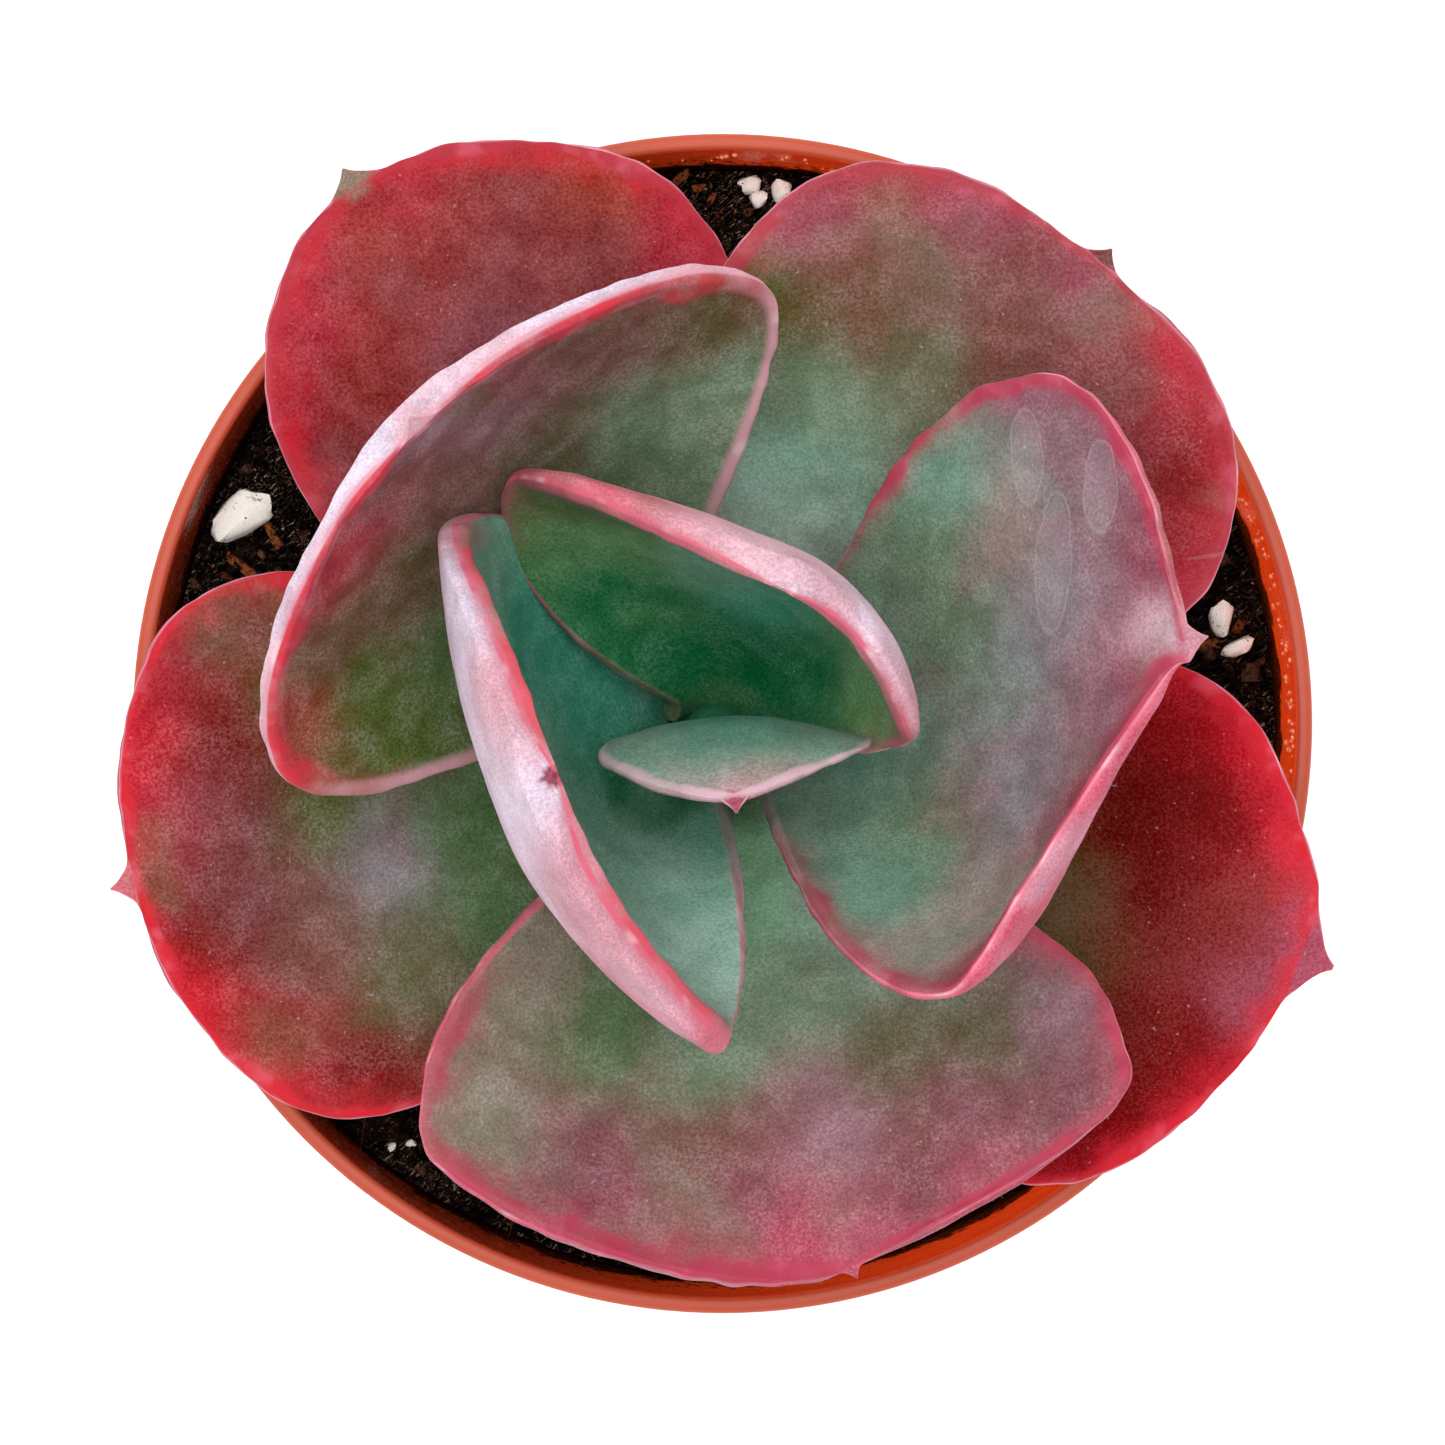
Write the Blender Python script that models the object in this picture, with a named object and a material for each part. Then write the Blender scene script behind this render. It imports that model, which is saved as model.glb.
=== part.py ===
"""Potted big red echeveria: a plastic nursery pot, potting soil, a short stem and ten fleshy leaves.

The plant is a rosette. Each younger leaf starts a little higher on the stem and about 140 degrees
further round it than the one before, and stands more upright. Every leaf is one closed fleshy body:
a midrib that rises from the stem, a blade that is cupped on either side of it, a rounded margin and
a short soft spike. The origin is the middle of the pot's underside, and the pot stands on z = 0.
"""

import math
import random
from dataclasses import dataclass

import bmesh
import bpy
import numpy as np
from mathutils import Matrix

MM = 0.001

# Pot, a moulded pot of the 10 cm size. Radii and heights in millimetres
POT_HEIGHT = 88.0
RIM_RADIUS = 51.0
RIM_LIP = 1.45
COLLAR_HEIGHT = 14.0
COLLAR_DRAFT = 1.0
WALL_RADIUS_TOP = 48.4
BASE_RADIUS = 36.0
WALL = 1.4
FLOOR = 2.0
FLOOR_ROUND = 1.0
FOOT_CHAMFER = 1.2
EDGE_ROUND = 0.45
SHOULDER = POT_HEIGHT - COLLAR_HEIGHT
SHOULDER_STEP = 2.0
POT_SEGMENTS = 64
DRAIN_COUNT = 6
DRAIN_RADIUS = 3.5
DRAIN_CIRCLE = 25.0
DRAIN_SEGMENTS = 16

# Soil, which fills the pot to a little under the rim
SOIL_TOP = 80.0
SOIL_RELIEF = 0.7
SOIL_WAVES = (  # per millimetre along X and Y, start, share of the relief
    (0.21, 0.13, 0.4, 1.0),
    (-0.17, 0.29, 1.9, 0.8),
    (0.47, -0.38, 3.1, 0.45),
    (0.33, 0.62, 5.0, 0.4),
)
SOIL_RINGS = (0.0, 0.08, 0.2, 0.34, 0.48, 0.62, 0.75, 0.87, 0.96)  # from the stem's hole to the pot's wall
SOIL_EDGE_DROP = 1.2
SOIL_SEGMENTS = 48
FIT_GAP = 0.3


@dataclass
class Lump:
    """A grain of perlite or bark in the soil's surface. Millimetres and degrees."""

    angle: float  # of its place, seen from the pot's axis
    radius: float
    length: float
    width: float
    turn: float  # of its long side, from +X
    rise: float  # half its thickness


LUMPS_SEEN = (
    Lump(angle=152.5, radius=44.6, length=5.4, width=3.4, turn=30, rise=2.0),
    Lump(angle=84.8, radius=46.2, length=3.6, width=3.0, turn=60, rise=1.6),
    Lump(angle=88.5, radius=45.6, length=3.4, width=2.8, turn=10, rise=1.5),
    Lump(angle=11.8, radius=43.2, length=3.6, width=2.2, turn=80, rise=1.5),
    Lump(angle=7.6, radius=45.0, length=3.4, width=1.7, turn=25, rise=1.3),
    Lump(angle=22.5, radius=47.2, length=2.6, width=1.8, turn=80, rise=1.1),
    Lump(angle=239.0, radius=44.0, length=2.0, width=1.6, turn=0, rise=0.9),
    Lump(angle=246.0, radius=44.2, length=2.2, width=1.6, turn=40, rise=0.9),
)
LUMPS_STREWN = 22
LUMP_SEED = 11
LUMP_SUNK = 0.35
LUMP_NEAR = 14.0
LUMP_FAR = 46.0
LUMP_ROUGH = (0.86, 1.08)
LARGE_LUMP = 2.5

# Stem, a little off the pot's middle: height and radius pairs from the root's end to the growing tip
STEM_X = -0.4
STEM_Y = -1.0
STEM_PROFILE = (
    (48.0, 1.2),
    (50.0, 2.6),
    (66.0, 4.4),
    (78.0, 5.2),
    (84.0, 5.0),
    (92.0, 4.7),
    (100.0, 4.1),
    (106.0, 3.2),
    (109.6, 2.2),
    (110.9, 1.1),
    (111.3, 0.4),
)
STEM_SEGMENTS = 24

# Leaf meshing
ACROSS = 9
BASE_STATIONS = 7
TIP_STATIONS = 8
MIDRIB_STEPS = 60
ROOT_LENGTH = 2.6
SPIKE_DECAY = 2.2
SPIKE_STEPS = ((0.35, 0.5), (0.7, 0.22), (1.0, 0.04))


@dataclass
class Leaf:
    """One leaf. Lengths in millimetres, angles in degrees; left and right are seen from the stem."""

    azimuth: float  # direction of the midrib in plan, from +X towards +Y
    height: float  # of the base above the ground
    length: float  # along the midrib, without the spike
    left: float  # widest half width, left of the midrib
    right: float
    rise: tuple  # slope of the midrib at the base, halfway and at the tip
    cup: tuple  # turn of the blade from midrib to margin, left and right
    reach: float = 5.0  # from the stem's axis to the base
    offset: float = 0.0  # of the base to the left of the stem's axis
    swing: float = 0.0  # turn of the midrib in plan, from base to tip
    widest: tuple = (0.62, 0.62)  # place of the widest point along the midrib, left and right
    blunt: tuple = (2.2, 2.2)  # squareness of the blade's end, left and right
    point: tuple = (0.6, 0.6)  # 0.5 is a round end, and more is a pointed one
    base: float = 4.3  # half width where the leaf meets the stem
    flank: tuple = (1.25, 1.25)  # how late the blade widens, left and right
    channel: float = 35.0  # extra cupping at the base
    belly: float = 0.0  # swelling of the inner face
    core: tuple = (4.0, 3.2)  # thickness at the midrib, at base and tip
    edge: float = 1.6  # thickness at the margin
    spike: float = 2.0
    spike_width: float = 1.7
    wave: tuple = (0.0, 1.5, 0.0)  # of the margin: height, number along the leaf, start


LEAVES = {
    "leaf_01": Leaf(
        azimuth=123.5, height=85.6, length=52.5, left=20.0, right=24.0, rise=(20, 16, 12), cup=(10, 10),
        point=(0.68, 0.68), wave=(0.5, 1.3, 0.1), spike=1.8, spike_width=1.3,
    ),
    "leaf_02": Leaf(
        azimuth=-21.5, height=88.2, length=49.5, left=18.5, right=25.0, rise=(22, 18, 12), cup=(10, 10),
        point=(0.72, 0.72), spike=2.8, spike_width=2.6, wave=(0.6, 1.6, 0.4),
    ),
    "leaf_03": Leaf(
        azimuth=195, height=91.0, length=47.5, left=25.0, right=22.0, rise=(22, 18, 12), cup=(10, 10),
        widest=(0.64, 0.64), blunt=(2.6, 2.6), wave=(0.5, 1.4, 0.6),
    ),
    "leaf_04": Leaf(
        azimuth=51, height=93.9, length=48.5, left=25.0, right=25.0, rise=(28, 20, 15), cup=(10, 12),
        widest=(0.64, 0.64), wave=(0.7, 1.7, 0.2), spike=1.4, spike_width=1.0,
    ),
    "leaf_05": Leaf(
        azimuth=-83, height=96.4, length=43.6, left=30.0, right=29.5, rise=(30, 22, 12), cup=(10, 32),
        swing=20, widest=(0.67, 0.6), blunt=(4.2, 1.15), wave=(0.5, 1.5, 0.8), spike=1.0, spike_width=0.9,
        point=(0.5, 0.6),
    ),
    "leaf_06": Leaf(
        azimuth=134, height=99.2, length=50.3, left=28.0, right=28.5, rise=(38, 48, 80), cup=(14, 14),
        widest=(0.56, 0.6), blunt=(1.35, 1.4), flank=(1.5, 2.2), core=(4.0, 2.5), wave=(0.4, 2.0, 0.3),
        point=(0.5, 0.5),
    ),
    "leaf_07": Leaf(
        azimuth=7.0, height=101.8, length=43.7, left=24.2, right=30.6, rise=(45, 46, 38), cup=(0, 84),
        swing=7, widest=(0.72, 0.6), blunt=(5.5, 1.05), point=(0.5, 0.85), flank=(1.1, 0.95),
        core=(4.0, 3.0), wave=(0.4, 1.6, 0.5),
    ),
    "leaf_08": Leaf(
        azimuth=199.5, height=105.0, length=42.5, left=26.2, right=23.6, rise=(46, 80, 112), cup=(40, 14),
        reach=4.9, blunt=(1.75, 2.2), flank=(1.1, 0.8), core=(3.6, 2.3), wave=(0.3, 1.8, 0.1), edge=1.2,
        spike=0.9, spike_width=0.8,
    ),
    "leaf_09": Leaf(
        azimuth=67, height=108.2, length=36.5, left=23.7, right=14.6, rise=(46, 74, 101), cup=(3, 42),
        reach=3.6, base=3.8, flank=(1.0, 1.3), core=(3.4, 2.5), wave=(0.3, 1.5, 0.2), widest=(0.56, 0.62),
        channel=60, edge=1.2, spike=1.0, spike_width=0.9,
    ),
    "leaf_10": Leaf(
        azimuth=-93, height=111.2, length=23.5, left=11.5, right=10.8, rise=(95, 92, 52), cup=(5, 5),
        reach=0.8, offset=1.0, swing=9, base=2.9, flank=(1.6, 1.6), channel=0, belly=2.2, core=(3.2, 2.4),
        spike=1.6, spike_width=1.4, widest=(0.66, 0.66), point=(0.8, 0.8), blunt=(1.6, 1.6), edge=0.9,
    ),
}

# Base colours
POT_COLOUR = (0.70, 0.16, 0.075)
SOIL_COLOUR = (0.018, 0.011, 0.008)
STEM_COLOUR = (0.20, 0.15, 0.07)
LEAF_COLOURS = {
    "leaf_01": (0.36, 0.05, 0.07),
    "leaf_02": (0.42, 0.01, 0.02),
    "leaf_03": (0.34, 0.09, 0.10),
    "leaf_04": (0.26, 0.14, 0.12),
    "leaf_05": (0.30, 0.19, 0.17),
    "leaf_06": (0.16, 0.13, 0.10),
    "leaf_07": (0.30, 0.24, 0.23),
    "leaf_08": (0.20, 0.32, 0.25),
    "leaf_09": (0.05, 0.22, 0.11),
    "leaf_10": (0.14, 0.34, 0.20),
}


def clear_scene():
    for obj in list(bpy.data.objects):
        bpy.data.objects.remove(obj)


def finish(name, colour, roughness):
    """A plain Principled finish."""
    material = bpy.data.materials.new(name)
    material.use_nodes = True
    shader = material.node_tree.nodes["Principled BSDF"]
    shader.inputs["Base Color"].default_value = (*colour, 1.0)
    shader.inputs["Roughness"].default_value = roughness
    shader.inputs["Metallic"].default_value = 0.0
    material.diffuse_color = (*colour, 1.0)
    return material


def object_from(mesh_data, name, material=None):
    """A bmesh, given in millimetres, as a smooth-shaded object in metres."""
    bmesh.ops.scale(mesh_data, vec=(MM, MM, MM), verts=mesh_data.verts)
    mesh = bpy.data.meshes.new(name)
    mesh_data.to_mesh(mesh)
    mesh_data.free()
    obj = bpy.data.objects.new(name, mesh)
    bpy.context.scene.collection.objects.link(obj)
    if material:
        mesh.materials.append(material)
    mesh.shade_smooth()
    mesh.set_sharp_from_angle(angle=math.radians(40))
    return obj


def loft(rings):
    """A closed body through rings of points. Each ring runs counter-clockwise as seen from the last."""
    shape = bmesh.new()
    loops = [[shape.verts.new(point) for point in ring] for ring in rings]
    count = len(loops[0])
    for low, high in zip(loops, loops[1:]):
        for i in range(count):
            j = (i + 1) % count
            shape.faces.new((low[i], low[j], high[j], high[i]))
    shape.faces.new(list(reversed(loops[0])))
    shape.faces.new(loops[-1])
    return shape


def circle(x, y, z, radius, segments):
    turns = [2 * math.pi * i / segments for i in range(segments)]
    return [(x + radius * math.cos(a), y + radius * math.sin(a), z) for a in turns]


def cut(obj, cutter):
    """Takes the cutter's shape out of obj. The cutter stays in the file as a guide."""
    cutter.hide_render = True
    cutter.display_type = "WIRE"
    modifier = obj.modifiers.new("cut_" + cutter.name, "BOOLEAN")
    modifier.operation = "DIFFERENCE"
    modifier.object = cutter
    modifier.solver = "EXACT"


def pot_outside():
    """(height, radius) of the pot's outer face, from the underside up to the lip."""
    collar_low = RIM_RADIUS - COLLAR_DRAFT
    return (
        (0.0, BASE_RADIUS - FOOT_CHAMFER),
        (FOOT_CHAMFER, BASE_RADIUS),
        (SHOULDER - EDGE_ROUND, WALL_RADIUS_TOP),
        (SHOULDER, collar_low - EDGE_ROUND),
        (SHOULDER + EDGE_ROUND, collar_low),
        (POT_HEIGHT - EDGE_ROUND, RIM_RADIUS),
        (POT_HEIGHT, RIM_RADIUS - EDGE_ROUND),
    )


def pot_inside():
    """(height, radius) of the pot's inner face, from the lip down to the floor."""
    return (
        (POT_HEIGHT, RIM_RADIUS - RIM_LIP + EDGE_ROUND / 2),
        (POT_HEIGHT - EDGE_ROUND / 2, RIM_RADIUS - RIM_LIP),
        (SHOULDER + SHOULDER_STEP, RIM_RADIUS - COLLAR_DRAFT - RIM_LIP),
        (SHOULDER, WALL_RADIUS_TOP - WALL),
        (FLOOR + FLOOR_ROUND, BASE_RADIUS - WALL),
        (FLOOR, BASE_RADIUS - WALL - FLOOR_ROUND),
    )


def build_pot():
    rings = [circle(0, 0, z, r, POT_SEGMENTS) for z, r in pot_outside() + pot_inside()]
    pot = object_from(loft(rings), "pot", finish("pot_plastic", POT_COLOUR, 0.45))
    drains = bmesh.new()
    for i in range(DRAIN_COUNT):
        turn = 2 * math.pi * i / DRAIN_COUNT
        x = DRAIN_CIRCLE * math.cos(turn)
        y = DRAIN_CIRCLE * math.sin(turn)
        made = bmesh.ops.create_cone(
            drains, cap_ends=True, segments=DRAIN_SEGMENTS,
            radius1=DRAIN_RADIUS, radius2=DRAIN_RADIUS, depth=3 * FLOOR,
        )
        bmesh.ops.translate(drains, vec=(x, y, FLOOR / 2), verts=made["verts"])
    cut(pot, object_from(drains, "drain_holes"))
    return pot


def stem_profile(clearance=0.0):
    """(height, radius) of the stem, grown all round by the clearance."""
    heights = [z for z, _ in STEM_PROFILE]
    heights[0] -= clearance
    heights[-1] += clearance
    return [(z, r + clearance) for z, (_, r) in zip(heights, STEM_PROFILE)]


def stem_rings(clearance=0.0):
    return [circle(STEM_X, STEM_Y, z, r, STEM_SEGMENTS) for z, r in stem_profile(clearance)]


def build_stem():
    return object_from(loft(stem_rings()), "stem", finish("stem_bark", STEM_COLOUR, 0.8))


def soil_height(x, y):
    """The soil's top, a sum of slow waves."""
    relief = sum(share * math.sin(a * x + b * y + start) for a, b, start, share in SOIL_WAVES)
    return SOIL_TOP + SOIL_RELIEF * relief


def pot_inner_radius(z):
    """The pot's inner radius at a height."""
    inside = sorted(pot_inside())
    return float(np.interp(z, [h for h, _ in inside], [r for _, r in inside]))


def soil_rings():
    """From the foot of the stem's hole, up the hole, out over the top, down the pot's wall to its floor."""
    hole = [(z, r) for z, r in stem_profile(FIT_GAP) if z < SOIL_TOP - SOIL_EDGE_DROP]
    hole_r = hole[-1][1]
    rings = [circle(STEM_X, STEM_Y, z, r, SOIL_SEGMENTS) for z, r in hole]
    wall_r = pot_inner_radius(SOIL_TOP) - FIT_GAP
    for share in SOIL_RINGS:
        centre = (STEM_X * (1 - share), STEM_Y * (1 - share))
        radius = hole_r + (wall_r - hole_r) * share
        flat = circle(*centre, 0, radius, SOIL_SEGMENTS)
        rings.append([(x, y, soil_height(x, y)) for x, y, _ in flat])
    for z in (SOIL_TOP - SOIL_EDGE_DROP, SHOULDER + SHOULDER_STEP, SHOULDER, FLOOR + FLOOR_ROUND):
        rings.append(circle(0, 0, z, pot_inner_radius(z) - FIT_GAP, SOIL_SEGMENTS))
    foot_r = pot_inner_radius(FLOOR) - FLOOR_ROUND
    rings.append(circle(0, 0, FLOOR + FIT_GAP, foot_r, SOIL_SEGMENTS))
    return rings


def lump_places():
    """The lumps seen at the surface, then the strewn ones that the leaves mostly hide."""
    chance = random.Random(LUMP_SEED)
    places = list(LUMPS_SEEN)
    for i in range(LUMPS_STREWN):
        length = chance.uniform(2.0, 3.6)
        places.append(Lump(
            angle=360 * (i + chance.uniform(0.2, 0.8)) / LUMPS_STREWN,
            radius=LUMP_NEAR + (LUMP_FAR - LUMP_NEAR) * math.sqrt(chance.random()),
            length=length,
            width=length * chance.uniform(0.6, 0.9),
            turn=chance.uniform(0, 180),
            rise=length * 0.4,
        ))
    return places


def lump_body(lump, chance):
    """One lump: a rough ball, stretched, turned and sunk in the soil, clear of the pot's wall."""
    furthest = pot_inner_radius(SOIL_TOP - lump.rise) - 2 * FIT_GAP - lump.length / 2
    radius = min(lump.radius, furthest)
    x = radius * math.cos(math.radians(lump.angle))
    y = radius * math.sin(math.radians(lump.angle))
    shape = bmesh.new()
    bmesh.ops.create_icosphere(shape, subdivisions=2 if lump.length > LARGE_LUMP else 1, radius=1.0)
    for vertex in shape.verts:
        vertex.co *= chance.uniform(*LUMP_ROUGH)
    bmesh.ops.scale(shape, vec=(lump.length / 2, lump.width / 2, lump.rise), verts=shape.verts)
    bmesh.ops.rotate(shape, matrix=Matrix.Rotation(math.radians(lump.turn), 3, "Z"), verts=shape.verts)
    bmesh.ops.translate(shape, vec=(x, y, soil_height(x, y) - LUMP_SUNK * lump.rise), verts=shape.verts)
    return shape


def build_soil():
    soil = object_from(loft(soil_rings()), "soil", finish("soil_mix", SOIL_COLOUR, 0.95))
    chance = random.Random(LUMP_SEED + 1)
    lumps = bpy.data.collections.new("lumps")
    bpy.context.scene.collection.children.link(lumps)
    for i, lump in enumerate(lump_places()):
        piece = object_from(lump_body(lump, chance), f"lump_{i:02d}")
        bpy.context.scene.collection.objects.unlink(piece)
        lumps.objects.link(piece)
    modifier = soil.modifiers.new("lumps", "BOOLEAN")
    modifier.operation = "UNION"
    modifier.operand_type = "COLLECTION"
    modifier.collection = lumps
    modifier.solver = "EXACT"
    bpy.context.view_layer.objects.active = soil
    soil.select_set(True)
    bpy.ops.object.modifier_apply(modifier=modifier.name)
    for piece in list(lumps.objects):
        bpy.data.objects.remove(piece)
    bpy.data.collections.remove(lumps)
    return soil


def direction(azimuth, slope):
    return np.array([math.cos(azimuth) * math.cos(slope), math.sin(azimuth) * math.cos(slope), math.sin(slope)])


def midrib_frames(leaf):
    """Point, tangent, leftward side and inner normal at even steps along the midrib."""
    azimuth = math.radians(leaf.azimuth)
    out, left = direction(azimuth, 0), direction(azimuth + math.pi / 2, 0)
    point = np.array([STEM_X, STEM_Y, leaf.height]) + leaf.reach * out + leaf.offset * left
    slopes = [math.radians(angle) for angle in leaf.rise]
    frames = []
    for i in range(MIDRIB_STEPS + 1):
        s = i / MIDRIB_STEPS
        slope = (1 - s) ** 2 * slopes[0] + 2 * s * (1 - s) * slopes[1] + s * s * slopes[2]
        turned = azimuth + math.radians(leaf.swing) * s**1.5
        tangent, side = direction(turned, slope), direction(turned + math.pi / 2, 0)
        frames.append((point, tangent, side, np.cross(tangent, side)))
        point = point + tangent * leaf.length / MIDRIB_STEPS
    return frames


def frame_at(frames, s):
    place = min(max(s, 0.0), 1.0) * MIDRIB_STEPS
    i = min(int(place), MIDRIB_STEPS - 1)
    share = place - i
    point, *axes = [a * (1 - share) + b * share for a, b in zip(frames[i], frames[i + 1])]
    return point, *[axis / np.linalg.norm(axis) for axis in axes]


def half_width(leaf, s, side):
    """Half width at s along the midrib, on side 0, left, or 1, right."""
    wide, widest = (leaf.left, leaf.right)[side], leaf.widest[side]
    if s <= widest:
        width = leaf.base + (wide - leaf.base) * math.sin(math.pi / 2 * s / widest) ** leaf.flank[side]
    else:
        beyond = min((s - widest) / (1 - widest), 1.0)
        width = wide * max(1 - beyond ** leaf.blunt[side], 0.0) ** leaf.point[side]
    return width + leaf.spike_width * math.exp(-(1 - s) * leaf.length / SPIKE_DECAY)


def thickness(leaf, s, across, width):
    core = leaf.core[0] + (leaf.core[1] - leaf.core[0]) * s**0.8
    depth = leaf.edge + (core - leaf.edge) * (1 - abs(across) ** 2.4)
    return depth * min(1.0, (width / 4.0) ** 0.7)


def blade_point(leaf, frames, s, across):
    """Points of the inner and the outer face. across runs from 1, the left margin, to -1, the right one."""
    point, tangent, side, normal = frame_at(frames, s)
    index, sign = (0, 1) if across >= 0 else (1, -1)
    width = half_width(leaf, s, index)
    turn = math.radians(leaf.cup[index] * (1 - 0.8 * s**12) + leaf.channel * max(1 - s / 0.6, 0.0) ** 1.5)
    turn = max(turn, 0.001)
    angle = abs(across) * turn
    inner = point + side * sign * width * math.sin(angle) / turn + normal * width * (1 - math.cos(angle)) / turn
    facing = normal * math.cos(angle) - side * sign * math.sin(angle)
    height, count, start = leaf.wave
    share = width / (leaf.left, leaf.right)[index] * across * across
    inner = inner + facing * height * share * math.sin(2 * math.pi * (count * s * sign + start))
    inner = inner + facing * leaf.belly * (1 - across * across) * math.sin(math.pi * s) ** 0.8
    return inner, inner - facing * thickness(leaf, s, across, width)


def margin_nose(inner, outer, beside):
    """A point halfway through the margin and a little beyond it, which rounds it."""
    outwards = inner - beside
    outwards = outwards / np.linalg.norm(outwards)
    return (inner + outer) / 2 + outwards * np.linalg.norm(inner - outer) * 0.38


def leaf_rings(leaf):
    frames = midrib_frames(leaf)
    middle = sum(leaf.widest) / 2
    stations = [middle * i / BASE_STATIONS for i in range(BASE_STATIONS)]
    stations += [middle + (1 - middle) * math.sin(math.pi / 2 * i / TIP_STATIONS) for i in range(TIP_STATIONS + 1)]
    even = [1 - 2 * i / (ACROSS - 1) for i in range(ACROSS)]
    across = [0.65 * t + 0.35 * math.sin(math.pi / 2 * t) for t in even]
    rings = []
    for s in stations:
        inner, outer = zip(*[blade_point(leaf, frames, s, t) for t in across])
        left_nose = margin_nose(inner[0], outer[0], inner[1])
        right_nose = margin_nose(inner[-1], outer[-1], inner[-2])
        rings.append([*inner, right_nose, *reversed(outer), left_nose])
    root = [point - frames[0][1] * ROOT_LENGTH for point in rings[0]]
    end, heart = np.array(rings[-1]), np.mean(rings[-1], axis=0)
    spike = [heart + (end - heart) * width + frames[-1][1] * leaf.spike * along for along, width in SPIKE_STEPS]
    return [root] + rings + [list(ring) for ring in spike]


def leaf_body(rings):
    """Skins the rings of a leaf. Panels are split alike on its two faces, and its ends are capped
    by strips from the inner face to the outer one.
    """
    shape = bmesh.new()
    loops = [[shape.verts.new(point) for point in ring] for ring in rings]
    count = 2 * ACROSS + 2
    for low, high in zip(loops, loops[1:]):
        for i in range(count):
            j = (i + 1) % count
            if i <= ACROSS:
                shape.faces.new((low[i], low[j], high[j]))
                shape.faces.new((low[i], high[j], high[i]))
            else:
                shape.faces.new((low[i], low[j], high[i]))
                shape.faces.new((low[j], high[j], high[i]))
    last = 2 * ACROSS
    for loop, facing_out in ((loops[0], False), (loops[-1], True)):
        strips = [(loop[i], loop[i + 1], loop[last - i - 1], loop[last - i]) for i in range(ACROSS - 1)]
        strips.append((loop[ACROSS - 1], loop[ACROSS], loop[ACROSS + 1]))
        strips.append((loop[last], loop[last + 1], loop[0]))
        for strip in strips:
            shape.faces.new(strip if facing_out else tuple(reversed(strip)))
    return shape


def build_leaf(name, leaf, stem_room):
    body = object_from(leaf_body(leaf_rings(leaf)), name, finish(name + "_skin", LEAF_COLOURS[name], 0.5))
    cut(body, stem_room)
    return body


def main():
    clear_scene()
    build_pot()
    build_soil()
    build_stem()
    stem_room = object_from(loft(stem_rings(FIT_GAP)), "stem_room")
    for name, leaf in LEAVES.items():
        build_leaf(name, leaf, stem_room)


main()
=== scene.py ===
"""A potted big red echeveria, seen from straight above: a plastic nursery pot, potting mix with perlite,
a short stem and ten fleshy leaves. Sizes are in millimetres unless a name says otherwise.
"""

import math
import random
from dataclasses import dataclass

import bpy
import numpy as np
from mathutils import Euler, Matrix, Vector, noise


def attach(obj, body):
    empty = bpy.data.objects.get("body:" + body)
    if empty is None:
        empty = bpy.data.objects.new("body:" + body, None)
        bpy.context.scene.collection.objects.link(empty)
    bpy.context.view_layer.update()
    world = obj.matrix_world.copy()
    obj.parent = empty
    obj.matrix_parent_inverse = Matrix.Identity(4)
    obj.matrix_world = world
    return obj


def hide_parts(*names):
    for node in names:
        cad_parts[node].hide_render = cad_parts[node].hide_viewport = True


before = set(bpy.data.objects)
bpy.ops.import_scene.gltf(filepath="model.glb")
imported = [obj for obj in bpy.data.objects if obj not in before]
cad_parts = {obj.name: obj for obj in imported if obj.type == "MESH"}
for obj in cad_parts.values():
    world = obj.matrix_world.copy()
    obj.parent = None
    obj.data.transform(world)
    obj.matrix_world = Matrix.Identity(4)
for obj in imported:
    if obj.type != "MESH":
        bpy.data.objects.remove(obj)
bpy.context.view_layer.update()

# Nursery pot. Injection-moulded polypropylene in a terracotta colour: a tapered body with a collar to lift
# it by, six drain holes in the floor, and a satin face. The mix has stained the inside of the collar, and
# beads of water stand on it. Light and shade are painted on as well: the inside of the collar is painted
# lighter on the right, with a painted glow there, and darker under the lip and near the mix, the outside
# has a faint painted glow, and the beads have painted glints and a faint glow.

MM = 0.001
POT_RINGS = (  # height and radius: up the outside, over the lip, down the inside to the floor
    (0.0, 30.2), (0.6, 31.0), (0.6, 33.4), (0.0, 34.2), (0.0, 34.8), (1.2, 36.0), (20.0, 39.22),
    (50.0, 44.37), (73.4, 48.38), (74.0, 49.55), (74.5, 50.0), (81.0, 50.5), (87.6, 51.0), (88.0, 50.6),
    (88.0, 49.85), (87.7, 49.55), (82.0, 49.0), (76.0, 48.55), (74.0, 47.0), (50.0, 42.92), (20.0, 37.5),
    (3.0, 34.6), (2.0, 33.6),
)
DRAINS = 6
DRAIN_CIRCLE = 25.0
DRAIN_RADIUS = 3.5
BEADS = 150
BEADS_RIGHT = 110  # of those, how many stand on the right of the wall. The others are at the back.


def clear_selection():
    bpy.ops.object.select_all(action="DESELECT")


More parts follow.
